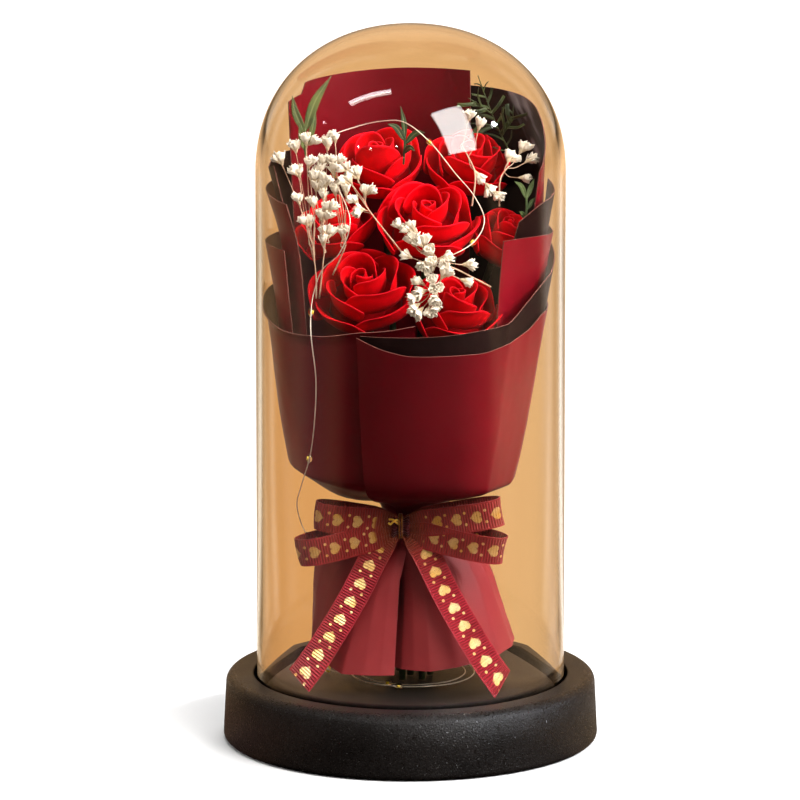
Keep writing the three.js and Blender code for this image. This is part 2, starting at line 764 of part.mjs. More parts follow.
const SPRIGS = [
  {
    name: "leaf_sprig_left",
    stem: [[-35, 2, 200], [-37, 7, 214]],
    blades: [[-28, 9, 237, 3.6], [-41.5, 5, 230.5, 3], [-34, 6, 226, 2.4], [-39, 4, 221, 2]],
  },
  {
    name: "leaf_sprig_top",
    stem: [[-2.5, -2, 207], [-2, -1, 214.5]],
    blades: [[-3.5, -1, 228, 2.2], [-8, -3, 222, 2.2], [5, -3, 219, 2.4], [1.5, -6, 213, 2.2]],
  },
  {
    name: "fern_sprig_right",
    stem: [[36, 20, 206], [31, 23, 216], [27, 25, 226]],
    blades: [
      [24, 24, 235, 1.4], [29, 22, 233.5, 1.4], [19, 23, 227, 1.4], [34, 20, 229, 1.4], [20, 20, 218, 1.3],
      [38, 16, 217, 1.4],
    ],
  },
  {
    name: "leaf_sprig_right",
    stem: [[40, -10, 186], [40.6, -9, 194]],
    blades: [[36, -11, 203, 1.8], [43.4, -6, 203, 2], [43.8, -9, 197, 1.6], [37.5, -15, 193, 1.6]],
  },
];

function sprigGeometry({ stem, blades }) {
  const nodes = stem.map(([x, y, z]) => vec(x, y, z));
  const pieces = nodes.slice(1).map((node, i) => stalk(nodes[i], node));
  blades.forEach(([x, y, z, width], i) => {
    pieces.push(blade(onStem(nodes, leavingShare(i, blades.length)), vec(x, y, z), width));
  });
  return joined(pieces);
}

// Light wire: up from the hole, in loose turns on the platform, up the left side of the
// paper, over its rim and among the flowers

const WIRE_REST = BASE_HEIGHT + GAP + BEAD_RADIUS;
const TURNS = { count: 2.25, radius: 17, growth: 3.2, points: 8, from: 90 };

function wireTurns() {
  const points = [];
  const total = TURNS.count * TURNS.points;
  for (let i = 1; i <= total; i += 1) {
    const turn = i / TURNS.points;
    const radius = TURNS.radius + TURNS.growth * turn;
    const angle = degrees(TURNS.from + 360 * turn);
    points.push([radius * Math.cos(angle), radius * Math.sin(angle), WIRE_REST]);
  }
  return points;
}

const WIRE_RISE = [
  [-31, 8, 25], [-33, 17, 30], [-32, 22, 42], [-32.5, 21, 56], [-36.5, 8, 70], [-38.5, -9, 79.5],
  [-39.6, -20, 89], [-37.8, -27.5, 97.5], [-34.6, -33.5, 110], [-33, -36.6, 124], [-32.6, -38, 138],
  [-34, -37.6, 151], [-34.4, -34.6, 158], [-33.6, -30.4, 166], [-30.5, -30, 175],
];
const WIRE_FLOWERS = [
  [-24.4, -31.6, 181.5], [-21, -29.4, 193], [-27, -21, 207], [-28.6, -13, 217.5], [-19, -8, 221.5],
  [-8, -7, 223.5], [-1, -8, 222.5], [7.4, -9.4, 215.6], [15.4, -12.6, 206], [22, -16, 198.6],
  [25.6, -18.6, 190.5], [22.4, -23, 184], [15, -27.4, 180], [7.6, -29, 178.4],
];

const WIRE_ROUTE = [
  [WIRE_HOLE.x, WIRE_HOLE.y, BASE_HEIGHT - WIRE_HOLE.depth + 0.4],
  [WIRE_HOLE.x, WIRE_HOLE.y, BASE_HEIGHT],
  [WIRE_HOLE.x, WIRE_HOLE.y + 0.4, BASE_HEIGHT + 2.4],
  ...wireTurns(),
  ...WIRE_RISE,
  ...WIRE_FLOWERS,
];
const wireCurve = smooth(WIRE_ROUTE);

// Light beads: clear drops threaded on the wire, each at the middle of a straight step
const BEAD_STEPS = [5, 11, 17, 23, 28, 34, 39, 44, 49, 54, 58];
const BEAD_SIDES = 5;
const BEAD_CHANNEL = 0.76;

function beadGeometry(step) {
  const stations = wireCurve.getSpacedPoints(WIRE_STEPS);
  const [from, to] = [stations[step], stations[step + 1]];
  const middle = from.clone().add(to).multiplyScalar(0.5);
  const along = to.clone().sub(from).normalize();
  const section = [
    [BEAD_CHANNEL, -BEAD_LENGTH / 2],
    [BEAD_RADIUS, -BEAD_LENGTH / 6],
    [BEAD_RADIUS, BEAD_LENGTH / 6],
    [BEAD_CHANNEL, BEAD_LENGTH / 2],
    [BEAD_CHANNEL, -BEAD_LENGTH / 2],
  ];
  const drop = new THREE.LatheGeometry(section.map(([r, y]) => new THREE.Vector2(r, y)), BEAD_SIDES);
  drop.applyQuaternion(new THREE.Quaternion().setFromUnitVectors(vec(0, 1, 0), along));
  drop.translate(middle.x, middle.y, middle.z);
  return facing(dropSlivers(drop));
}

// The whole object

const object = new THREE.Group();

function place(name, geometry, finish) {
  const mesh = new THREE.Mesh(geometry, finish());
  mesh.name = name;
  object.add(mesh);
}

place("base", baseGeometry(), FINISH.base);
place("dome", domeGeometry(), FINISH.dome);
ROSES.forEach((rose, index) => {
  object.add(bloomMesh(rose, index));
  place(rose.name.replace("rose", "stem"), stemGeometry(rose, index), FINISH.stem);
});
SHEETS.forEach((sheet, index) => {
  place(sheet.name, paperGeometry(sheet, sheet.order ?? index), sheet.finish);
});
place("ribbon_bow", bowGeometry(), FINISH.ribbon);
place("twist_tie", tieGeometry(), FINISH.gold);
for (const spray of SPRAYS) place(spray.name, sprayGeometry(spray), FINISH.floret);
for (const sprig of SPRIGS) place(sprig.name, sprigGeometry(sprig), FINISH.leaf);
place("light_wire", tube(wireCurve, WIRE_DIAMETER / 2, 8, WIRE_STEPS), FINISH.wire);
BEAD_STEPS.forEach((step, index) => place(`light_${index + 1}`, beadGeometry(step), FINISH.bead));

export default object;
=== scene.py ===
import math
import random

import bpy
import numpy as np
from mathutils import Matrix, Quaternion, Vector, noise


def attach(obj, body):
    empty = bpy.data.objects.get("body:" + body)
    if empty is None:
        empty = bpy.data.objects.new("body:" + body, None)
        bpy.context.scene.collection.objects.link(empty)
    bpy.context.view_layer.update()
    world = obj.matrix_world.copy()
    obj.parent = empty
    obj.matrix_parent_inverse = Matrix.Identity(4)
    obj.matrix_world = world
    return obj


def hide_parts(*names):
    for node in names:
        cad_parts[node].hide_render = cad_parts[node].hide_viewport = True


# Preserved roses in two-tone paper, kept under a clear dome. Tables are in millimetres. The front
# is towards -Y; round the bunch 0 degrees faces the front and 90 faces +X.

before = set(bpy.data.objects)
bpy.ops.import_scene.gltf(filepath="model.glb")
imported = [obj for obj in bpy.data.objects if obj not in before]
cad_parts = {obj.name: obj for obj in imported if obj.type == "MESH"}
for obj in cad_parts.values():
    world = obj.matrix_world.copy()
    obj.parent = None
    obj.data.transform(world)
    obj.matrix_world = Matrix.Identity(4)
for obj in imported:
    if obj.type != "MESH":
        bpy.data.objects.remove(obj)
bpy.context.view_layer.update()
mm = 0.001


# Camera: a long lens, a little above level

cameraView = {"target": (-3.73, 0, 121.9), "distance": 3000, "elevation": 12.25, "lens": 382.0}


def makeCamera(values):
    data = bpy.data.cameras.new("photoCamera")
    data.sensor_width = 36
    data.lens = values["lens"]
    data.clip_start, data.clip_end = 0.1, 60
    camera = bpy.data.objects.new("photoCamera", data)
    bpy.context.scene.collection.objects.link(camera)
    rise = math.radians(values["elevation"])
    back = Vector((0, -math.cos(rise), math.sin(rise)))
    camera.location = (Vector(values["target"]) + back * values["distance"]) * mm
    camera.rotation_mode = "QUATERNION"
    camera.rotation_quaternion = (-back).to_track_quat("-Z", "Y")
    bpy.context.scene.camera = camera


makeCamera(cameraView)
print("camera: ready")


# Shapes: lists of points and faces in millimetres, gathered into one mesh for each piece

class Pile:
    def __init__(self):
        self.points, self.faces, self.slots, self.uvs = [], [], [], []

    def add(self, points, faces, slots=0, uvs=None):
        start = len(self.points)
        self.points.extend(tuple(map(float, p)) for p in points)
        self.faces.extend([v + start for v in face] for face in faces)
        self.slots.extend([slots] * len(faces) if isinstance(slots, int) else slots)
        self.uvs.extend([(0.0, 0.0)] * len(points) if uvs is None else [tuple(map(float, c)) for c in uvs])

    def addSkin(self, grid, thickness, slot=0, uv=None):
        points, faces, _, uvs = skinShape(grid, thickness, uv=uv)
        self.add(points, faces, slot, uvs)

    def make(self, name, materials, sharp=None):
        mesh = bpy.data.meshes.new(name)
        mesh.from_pydata([(x * mm, y * mm, z * mm) for x, y, z in self.points], [], self.faces)
        for material in materials:
            mesh.materials.append(material)
        mesh.polygons.foreach_set("use_smooth", [True] * len(mesh.polygons))
        mesh.polygons.foreach_set("material_index", self.slots)
        layer = mesh.uv_layers.new(name="UVMap")
        layer.data.foreach_set("uv", [c for face in self.faces for v in face for c in self.uvs[v]])
        if sharp:
            mesh.set_sharp_from_angle(angle=math.radians(sharp))
        mesh.update()
        obj = bpy.data.objects.new(name, mesh)
        bpy.context.scene.collection.objects.link(obj)
        return obj


def finishPiece(obj, nodes):
    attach(obj, "root")
    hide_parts(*nodes)
    return obj


def smoothRoute(points, perSpan):
    p = np.array(points, float)
    p = np.vstack([2 * p[0] - p[1], p, 2 * p[-1] - p[-2]])
    route = []
    for i in range(1, len(p) - 2):
        a, b, c, d = p[i - 1:i + 3]
        for k in range(perSpan):
            t = k / perSpan
            curve = 2 * b + (c - a) * t + (2 * a - 5 * b + 4 * c - d) * t**2
            route.append(0.5 * (curve + (3 * b - a - 3 * c + d) * t**3))
    route.append(p[-2])
    return np.array(route)


def unit(vectors):
    vectors = np.asarray(vectors, float)
    return vectors / np.maximum(np.linalg.norm(vectors, axis=-1, keepdims=True), 1e-9)


def tubeShape(path, radius, sides):
    # a closed tube along the path; radius is one number or one for each point
    path = np.asarray(path, float)
    count = len(path)
    radii = np.broadcast_to(np.asarray(radius, float), (count,))
    tangents = unit(np.gradient(path, axis=0))
    side = np.array([1.0, 0, 0]) if abs(tangents[0][0]) < 0.8 else np.array([0, 1.0, 0])
    angles = np.arange(sides) / sides * 2 * math.pi
    points = []
    for i in range(count):
        side = unit(side - tangents[i] * side.dot(tangents[i]))
        other = np.cross(tangents[i], side)
        ring = path[i] + radii[i] * (np.outer(np.cos(angles), side) + np.outer(np.sin(angles), other))
        points.extend(ring)
    faces = []
    for i in range(count - 1):
        for k in range(sides):
            a, b = i * sides + k, i * sides + (k + 1) % sides
            faces.append((a, b, b + sides, a + sides))
    faces.append(tuple(range(sides - 1, -1, -1)))
    faces.append(tuple((count - 1) * sides + k for k in range(sides)))
    return points, faces


def skinShape(grid, thickness, outward=None, uv=None):
    # both sides of a thin sheet: slot 0 is its outer side, 1 its inner side and 2 its cut edge
    grid = np.asarray(grid, float)
    rows, columns = grid.shape[:2]
    normals = unit(np.cross(np.gradient(grid, axis=0), np.gradient(grid, axis=1)))
    outer, inner = 0, 1
    if outward is not None and (normals * outward).sum() < 0:
        outer, inner = 1, 0
    points = list((grid + normals * thickness / 2).reshape(-1, 3))
    points += list((grid - normals * thickness / 2).reshape(-1, 3))
    faces, slots = [], []
    last, right = rows - 1, columns - 1

    def at(level, i, j):
        return level * rows * columns + i * columns + j

    for i in range(last):
        for j in range(right):
            faces.append((at(0, i, j), at(0, i + 1, j), at(0, i + 1, j + 1), at(0, i, j + 1)))
            faces.append((at(1, i, j), at(1, i, j + 1), at(1, i + 1, j + 1), at(1, i + 1, j)))
            slots += [outer, inner]
    for j in range(right):
        faces.append((at(0, 0, j), at(0, 0, j + 1), at(1, 0, j + 1), at(1, 0, j)))
        faces.append((at(0, last, j + 1), at(0, last, j), at(1, last, j), at(1, last, j + 1)))
        slots += [2, 2]
    for i in range(last):
        faces.append((at(0, i + 1, 0), at(0, i, 0), at(1, i, 0), at(1, i + 1, 0)))
        faces.append((at(0, i, right), at(0, i + 1, right), at(1, i + 1, right), at(1, i, right)))
        slots += [2, 2]
    if uv is None:
        uv = [(j / right, i / last) for i in range(rows) for j in range(columns)]
    return points, faces, slots, list(uv) * 2


def turnedShape(profile, sides):
    # a turned solid from [radius, height] points that start and end on the axis
    angles = np.arange(sides) / sides * 2 * math.pi
    points, rings = [], []
    for r, z in profile:
        if r < 1e-6:
            rings.append([len(points)] * sides)
            points.append((0, 0, z))
        else:
            rings.append([len(points) + k for k in range(sides)])
            points.extend(zip(r * np.cos(angles), r * np.sin(angles), [z] * sides))
    faces = []
    for low, high in zip(rings, rings[1:]):
        for k in range(sides):
            n = (k + 1) % sides
            face = [low[k], low[n], high[n], high[k]]
            faces.append([v for i, v in enumerate(face) if v not in face[:i]])
    return points, faces


def around(theta, r, z):
    angle = np.radians(theta)
    return np.stack(np.broadcast_arrays(r * np.sin(angle), -r * np.cos(angle), z), axis=-1)


def turnTo(axis):
    # the matrix that turns +Z to the axis
    spin = Vector((0, 0, 1)).rotation_difference(Vector(axis))
    return np.array(spin.to_matrix())


# Node helpers

def addNode(tree, kind, values=None, **settings):
    made = tree.nodes.new(kind)
    for key, value in settings.items():
        setattr(made, key, value)
    for key, value in (values or {}).items():
        if isinstance(value, bpy.types.NodeSocket):
            tree.links.new(value, made.inputs[key])
        else:
            made.inputs[key].default_value = value
    return made


def mathNode(tree, operation, a, b=0.0, c=0.0, clamp=False):
    values = {0: a, 1: b, 2: c}
    return addNode(tree, "ShaderNodeMath", values, operation=operation, use_clamp=clamp).outputs[0]


def times(tree, a, b):
    return mathNode(tree, "MULTIPLY", a, b)


def vectorNode(tree, operation, a, b=(0, 0, 0), scale=1.0):
    node = addNode(tree, "ShaderNodeVectorMath", {0: a, 1: b, 3: scale}, operation=operation)
    return node.outputs["Value" if operation in ("LENGTH", "DISTANCE") else "Vector"]


def split(tree, vector):
    return addNode(tree, "ShaderNodeSeparateXYZ", {0: vector}).outputs


def mixColour(tree, share, a, b):
    # either colour may be a socket or three numbers
    a, b = ((*colour, 1) if isinstance(colour, tuple) else colour for colour in (a, b))
    return addNode(tree, "ShaderNodeMix", {0: share, 6: a, 7: b}, data_type="RGBA").outputs[2]


def rampNode(tree, share, stops):
    node = addNode(tree, "ShaderNodeValToRGB", {0: share})
    ramp = node.color_ramp
    while len(ramp.elements) < len(stops):
        ramp.elements.new(1.0)
    for element, (place, colour) in zip(ramp.elements, stops):
        element.position, element.color = place, (*colour, 1)
    return node.outputs[0]


def spread(tree, value, low, high, outLow=0.0, outHigh=1.0):
    values = {0: value, 1: low, 2: high, 3: outLow, 4: outHigh}
    return addNode(tree, "ShaderNodeMapRange", values).outputs[0]


def spreadOver(tree, value, span, outLow=0.0, outHigh=1.0):
    # as spread, over a span given in millimetres
    return spread(tree, value, span[0] * mm, span[1] * mm, outLow, outHigh)


def newMaterial(name, **values):
    material = bpy.data.materials.new(name)
    material.use_nodes = True
    shader = material.node_tree.nodes["Principled BSDF"]
    for key, value in values.items():
        shader.inputs[key.replace("_", " ")].default_value = value
    return material, material.node_tree, shader


def objectPoint(tree):
    return addNode(tree, "ShaderNodeTexCoord").outputs["Object"]


def noiseNode(tree, vector, scale, detail):
    return addNode(tree, "ShaderNodeTexNoise", {"Vector": vector, "Scale": scale, "Detail": detail})


def cellNode(tree, vector, scale, feature="F1"):
    return addNode(tree, "ShaderNodeTexVoronoi", {"Vector": vector, "Scale": scale}, feature=feature)


def sheetPlace(tree):
    # across and along a thin sheet
    return split(tree, addNode(tree, "ShaderNodeUVMap", uv_map="UVMap").outputs[0])


def bumpInto(tree, shader, height, strength, distance, normal=None):
    values = {"Strength": strength, "Distance": distance * mm, "Height": height}
    if normal:
        values["Normal"] = normal
    tree.links.new(addNode(tree, "ShaderNodeBump", values).outputs[0], shader.inputs["Normal"])


def makeGroup(name, inputs, outputs):
    group = bpy.data.node_groups.new(name, "ShaderNodeTree")
    for title, kind, value in inputs:
        socket = group.interface.new_socket(title, in_out="INPUT", socket_type=kind)
        if value is not None:
            socket.default_value = value
    for title, kind in outputs:
        group.interface.new_socket(title, in_out="OUTPUT", socket_type=kind)
    return group, group.nodes.new("NodeGroupInput"), group.nodes.new("NodeGroupOutput")


def useGroup(tree, group, values):
    return addNode(tree, "ShaderNodeGroup", values, node_tree=group)


def clearShadows(tree, shader):
    # clear stuff lets light through without a dark shadow
    seeThrough = addNode(tree, "ShaderNodeBsdfTransparent")
    path = addNode(tree, "ShaderNodeLightPath")
    values = {0: path.outputs["Is Shadow Ray"], 1: shader.outputs[0], 2: seeThrough.outputs[0]}
    both = addNode(tree, "ShaderNodeMixShader", values)
    tree.links.new(both.outputs[0], tree.nodes["Material Output"].inputs["Surface"])


# Mottle: two colours that drift into each other, with a fine grain as height

def makeMottle():
    group, given, result = makeGroup(
        "mottle",
        [("Vector", "NodeSocketVector", None), ("Patch", "NodeSocketFloat", 60.0),
         ("Grain", "NodeSocketFloat", 900.0), ("First", "NodeSocketColor", None),
         ("Second", "NodeSocketColor", None)],
        [("Colour", "NodeSocketColor"), ("Grain", "NodeSocketFloat"), ("Patch", "NodeSocketFloat")],
    )
    vector = given.outputs["Vector"]
    patch = noiseNode(group, vector, given.outputs["Patch"], 3.0)
    grain = noiseNode(group, vector, given.outputs["Grain"], 2.0)
    share = spread(group, patch.outputs[0], 0.35, 0.65)
    colour = mixColour(group, share, given.outputs["First"], given.outputs["Second"])
    group.links.new(colour, result.inputs["Colour"])
    group.links.new(grain.outputs[0], result.inputs["Grain"])
    group.links.new(share, result.inputs["Patch"])
    return group


# Crumple: soft creases of handled paper as height

def makeCrumple():
    group, given, result = makeGroup(
        "crumple",
        [("Vector", "NodeSocketVector", None), ("Size", "NodeSocketFloat", 40.0)],
        [("Height", "NodeSocketFloat")],
    )
    vector, size = given.outputs["Vector"], given.outputs["Size"]
    warp = noiseNode(group, vector, size, 1.0)
    moved = vectorNode(group, "ADD", vector, vectorNode(group, "SCALE", warp.outputs["Color"], scale=0.02))
    cell = cellNode(group, moved, size, "SMOOTH_F1")
    group.links.new(mathNode(group, "ADD", cell.outputs[0], warp.outputs[0]), result.inputs[0])
    return group


mottleGroup = makeMottle()
crumpleGroup = makeCrumple()


def mottled(tree, patch, grain, first, second):
    values = {"Patch": patch, "Grain": grain, "First": (*first, 1), "Second": (*second, 1)}
    return useGroup(tree, mottleGroup, {"Vector": objectPoint(tree), **values}).outputs


def grainedMaterial(name, look, bump=None, **values):
    # a mottled colour, with its grain as a bump of some strength and depth
    material, tree, shader = newMaterial(name, **values)
    mottle = mottled(tree, *look)
    tree.links.new(mottle["Colour"], shader.inputs["Base Color"])
    if bump:
        bumpInto(tree, shader, mottle["Grain"], *bump)
    return material


# Stage: a pale floor and studio, plain to the eye and as light, warm where the eye looks through the dome

stageValues = {
    "floorSize": 12000, "floorLevel": -0.2, "floorColour": (0.86, 0.85, 0.84),
    "floorGlow": (0.36, 0.30, 0.26), "worldColour": (0.07, 0.07, 0.07), "skyColour": (1.06, 1.06, 1.06),
    "seenLeft": (0.78, 0.40, 0.135), "seenRight": (0.87, 0.53, 0.245), "seenTop": (0.92, 0.55, 0.25),
    # where one of the seen colours passes into the next, in metres across or away
    "leftToRight": (-0.05, 0.05), "nearToTop": (0.85, 1.1), "nearToSky": (0.7, 2.2),
}
mirrorValues = {
    # what shiny surfaces mirror, by bearing: 0 is the back, 0.25 the left, 0.5 the front and 0.75 the right
    "ramp": [
        (0.0, (0.70, 0.50, 0.32)), (0.05, (0.36, 0.24, 0.13)), (0.085, (0.80, 0.68, 0.54)),
        (0.107, (0.20, 0.12, 0.05)), (0.16, (0.32, 0.19, 0.10)), (0.21, (0.22, 0.11, 0.07)),
        (0.25, (0.33, 0.20, 0.14)), (0.29, (0.16, 0.09, 0.09)), (0.34, (0.20, 0.10, 0.06)),
        (0.37, (0.015, 0.008, 0.006)), (0.50, (0.005, 0.003, 0.003)), (0.66, (0.02, 0.014, 0.01)),
        (0.69, (0.21, 0.14, 0.085)), (0.80, (0.24, 0.17, 0.10)), (0.835, (0.34, 0.29, 0.25)),
        (0.87, (0.18, 0.11, 0.06)), (0.89, (0.28, 0.18, 0.10)), (0.915, (0.80, 0.72, 0.63)),
        (0.94, (0.30, 0.20, 0.12)), (0.975, (0.70, 0.50, 0.32)),
    ],
    "streaks": 60.0, "streakLeast": 0.6,
    "above": (0.09, 0.06, 0.045), "aboveBack": (0.82, 0.50, 0.25), "farRight": (0.012, 0.008, 0.006),
    # where these begin: shares of a heading, and metres away
    "right": (0.88, 0.95), "rightAway": (0.66, 0.82), "back": (0.60, 0.90), "backAway": (0.9, 1.25),
    "rise": (0.03, 0.35), "riseBack": (0.0, 0.15),
}


def makeFloor(values):
    half, level = values["floorSize"] / 2, values["floorLevel"]
    corners = [(-half, -half, level), (half, -half, level), (half, half, level), (-half, half, level)]
    floor = Pile()
    floor.add(corners, [(0, 1, 2, 3)])
    material, tree, shader = newMaterial("paleFloor", Roughness=0.9, Specular_IOR_Level=0.0)
    point = objectPoint(tree)
    colour, seen = roomColour(tree, values["floorColour"], values["floorGlow"], point, mirrorValues)
    tree.links.new(colour, shader.inputs["Base Color"])
    far = vectorNode(tree, "LENGTH", point)
    side = spread(tree, split(tree, point)[0], *values["leftToRight"])
    amber = mixColour(tree, side, values["seenLeft"], values["seenRight"])
    amber = mixColour(tree, spread(tree, far, *values["nearToTop"]), amber, values["seenTop"])
    direct = addNode(tree, "ShaderNodeLightPath").outputs["Is Camera Ray"]
    distant = times(tree, direct, spread(tree, far, *values["nearToSky"]))
    tree.links.new(mathNode(tree, "MAXIMUM", seen, distant), shader.inputs["Emission Strength"])
    tree.links.new(mixColour(tree, distant, amber, values["skyColour"]), shader.inputs["Emission Color"])
    floor.make("floor", [material])


def makeWorld(values):
    world = bpy.data.worlds.new("studio")
    world.use_nodes = True
    bpy.context.scene.world = world
    tree = world.node_tree
    heading = addNode(tree, "ShaderNodeTexCoord").outputs["Generated"]
    colour, seen = roomColour(tree, values["worldColour"], values["worldColour"], heading, mirrorValues)
    colour = mixColour(tree, seen, colour, values["seenTop"])
    direct = addNode(tree, "ShaderNodeLightPath").outputs["Is Camera Ray"]
    tree.links.new(mixColour(tree, direct, colour, values["skyColour"]), tree.nodes["Background"].inputs[0])


def mirroredColour(tree, place, values):
    x, y, z = split(tree, vectorNode(tree, "NORMALIZE", place))
    turn = mathNode(tree, "ARCTAN2", times(tree, x, -1.0), y)
    bearing = mathNode(tree, "FRACT", mathNode(tree, "ADD", mathNode(tree, "DIVIDE", turn, 2 * math.pi), 1.0))
    streakValues = {"W": times(tree, bearing, values["streaks"]), "Detail": 2.0}
    streaks = addNode(tree, "ShaderNodeTexNoise", streakValues, noise_dimensions="1D").outputs[0]
    colour = rampNode(tree, bearing, values["ramp"])
    colour = mixColour(tree, spread(tree, streaks, 0.3, 0.7, values["streakLeast"], 1.0), (0, 0, 0), colour)
    far = vectorNode(tree, "LENGTH", place)
    right = times(tree, spread(tree, x, *values["right"]), spread(tree, far, *values["rightAway"]))
    colour = mixColour(tree, right, colour, values["farRight"])
    back = spread(tree, y, *values["back"])
    above = mixColour(tree, back, values["above"], values["aboveBack"])
    high = mixColour(tree, back, spread(tree, z, *values["rise"]), spread(tree, z, *values["riseBack"]))
    high = mathNode(tree, "MAXIMUM", high, times(tree, back, spread(tree, far, *values["backAway"])))
    return mixColour(tree, high, colour, above)


def roomColour(tree, plain, glow, place, values):
    # the colour for each kind of ray, and a mask of the rays that have gone straight through the dome
    path = addNode(tree, "ShaderNodeLightPath").outputs
    scattered = mathNode(tree, "MINIMUM", path["Diffuse Depth"], 1.0)
    bounced = mathNode(tree, "MINIMUM", path["Glossy Depth"], 1.0)
    turned = mathNode(tree, "ADD", scattered, bounced)
    seen = mathNode(tree, "SUBTRACT", path["Is Transmission Ray"], turned, clamp=True)
    mirror = mathNode(tree, "SUBTRACT", bounced, scattered, clamp=True)
    colour = mixColour(tree, scattered, plain, glow)
    colour = mixColour(tree, mirror, colour, mirroredColour(tree, place, values))
    return mixColour(tree, seen, colour, (0, 0, 0)), seen


lightAim = (0, 0, 120)
softLights = {
    # the seen ones also show in the dome and on the base, the others only light
    "keySoftbox": {"at": (690, -780, 1000), "aim": (0, 0, 150), "size": (520, 840), "power": 14.5,
                   "seen": True},
    "topStrip": {"at": (-560, -260, 1400), "aim": (0, 0, 230), "size": (620, 80), "power": 2.4, "seen": True,
                 "turn": 62},
    "topFill": {"at": (100, -350, 1650), "aim": (0, 0, 180), "size": (800, 800), "power": 15},
    "keyFill": {"at": (1350, -420, 850), "aim": (0, 0, 150), "size": (700, 900), "power": 19},
    "leftWall": {"at": (-1500, -400, 800), "size": (1200, 1400), "power": 7.5},
    "rightWall": {"at": (1500, 0, 420), "size": (900, 1300), "power": 14},
    "backLight": {"at": (200, 1500, 1500), "size": (1200, 800), "power": 22},
    "rightLamp": {"at": (1280, -280, 1000), "size": (84, 84), "power": 15, "seen": True,
                  "tint": (0.86, 0.90, 1.0)},
    "leftLamp": {"at": (-1310, -186, 998), "size": (36, 36), "power": 0.3, "seen": True},
    "frontLampA": {"at": (-965, -1048, 818), "size": (32, 32), "power": 0.2, "seen": True},
    "frontLampB": {"at": (-750, -1212, 820), "size": (32, 32), "power": 0.2, "seen": True},
    "frontLampC": {"at": (-275, -1355, 915), "size": (32, 32), "power": 0.2, "seen": True},
}


def makeLights(table):
    for name, values in table.items():
        data = bpy.data.lights.new(name, "AREA")
        data.shape = "RECTANGLE"
        data.size, data.size_y = (edge * mm for edge in values["size"])
        data.energy = values["power"]
        data.color = values.get("tint", (1, 1, 1))
        light = bpy.data.objects.new(name, data)
        bpy.context.scene.collection.objects.link(light)
        light.visible_glossy = light.visible_transmission = values.get("seen", False)
        light.location = Vector(values["at"]) * mm
        light.rotation_mode = "QUATERNION"
        spin = Quaternion((0, 0, 1), math.radians(values.get("turn", 0)))
        towards = Vector(values.get("aim", lightAim)) - Vector(values["at"])
        light.rotation_quaternion = towards.to_track_quat("-Z", "Y") @ spin


makeFloor(stageValues)
makeWorld(stageValues)
makeLights(softLights)
bpy.context.scene.view_settings.view_transform = "Standard"
print("stage: floor and lights")


# Light wire: a bare strand that leaves the platform, lies in turns and climbs to the flowers

# diameter is that of the solid, strand the thickness that is drawn
wireValues = {
    "diameter": 0.6, "strand": 0.38, "exit": (3, 17, 17.7), "rest": 24.6,
    "mottle": (220.0, 2500.0, (0.90, 0.80, 0.70), (0.78, 0.66, 0.54)),
    "turns": 2.25, "turnRadius": 17, "turnGrowth": 3.2, "turnPoints": 8,
    "rise": [
        (-31, 8, 25), (-33, 17, 30), (-32, 22, 42), (-32.5, 21, 56), (-36.5, 8, 70), (-38.5, -9, 79.5),
        (-39.6, -20, 89), (-37.8, -27.5, 97.5), (-34.6, -33.5, 110), (-33, -36.6, 124), (-32.6, -38, 138),
        (-34, -37.6, 151), (-34.4, -34.6, 158), (-33.6, -30.4, 166), (-30.5, -30, 175),
    ],
    "flowers": [
        (-24.4, -31.6, 181.5), (-21, -29.4, 193), (-27, -21, 207), (-28.6, -13, 217.5), (-19, -8, 221.5),
        (-8, -7, 223.5), (-1, -8, 222.5), (7.4, -9.4, 215.6), (15.4, -12.6, 206), (22, -16, 198.6),
        (25.6, -18.6, 190.5), (22.4, -23, 184), (15, -27.4, 180), (7.6, -29, 178.4),
    ],
}
beadValues = {
    "length": 3.0, "radius": 1.0, "steps": [5, 11, 17, 23, 28, 34, 39, 44, 49, 54, 58], "wireSteps": 60,
    "chipOut": (0.42, 0.22), "chipLong": 0.55, "chipWide": 0.3,
    "chipMottle": (900.0, 4000.0, (0.95, 0.72, 0.10), (0.85, 0.52, 0.05)),
}
boxFaces = [(0, 1, 3, 2), (4, 6, 7, 5), (0, 4, 5, 1), (2, 3, 7, 6), (0, 2, 6, 4), (1, 5, 7, 3)]


def wireRoute(values):
    x, y, z = values["exit"]
    points = [(x, y, z), (x, y, 23.3), (x, y + 0.4, 25.7)]
    for i in range(1, int(values["turns"] * values["turnPoints"]) + 1):
        turn = i / values["turnPoints"]
        radius, angle = values["turnRadius"] + values["turnGrowth"] * turn, math.radians(90 + 360 * turn)
        points.append((radius * math.cos(angle), radius * math.sin(angle), values["rest"]))
    return smoothRoute(points + values["rise"] + values["flowers"], 8)


def alongRoute(route, share):
    steps = np.linalg.norm(np.diff(route, axis=0), axis=1)
    travelled = np.concatenate([[0], np.cumsum(steps)])
    distance = share * travelled[-1]
    point = np.array([np.interp(distance, travelled, route[:, k]) for k in range(3)])
    ahead = np.array([np.interp(distance + 0.6, travelled, route[:, k]) for k in range(3)])
    return point, unit(ahead - point)


def addBead(pile, middle, along, beads):
    # a clear drop round the strand, with a gold chip on its one side
    shares = np.linspace(-1, 1, 9)
    path = [middle + along * beads["length"] / 2 * s for s in shares]
    radii = [beads["radius"] * max(1 - abs(s) ** 2.6, 0.12) ** 0.5 for s in shares]
    pile.add(*tubeShape(path, radii, 14), slots=0)
    side = unit(np.cross(along, (0.3, 0.2, 1)))
    across = np.cross(along, side)
    out, thick = beads["chipOut"]
    long, wide = along * beads["chipLong"], across * beads["chipWide"]
    corners = [middle + side * (out + thick * c) + long * a + wide * b
               for a in (-1, 1) for b in (-1, 1) for c in (-1, 1)]
    pile.add(corners, boxFaces, slots=1)


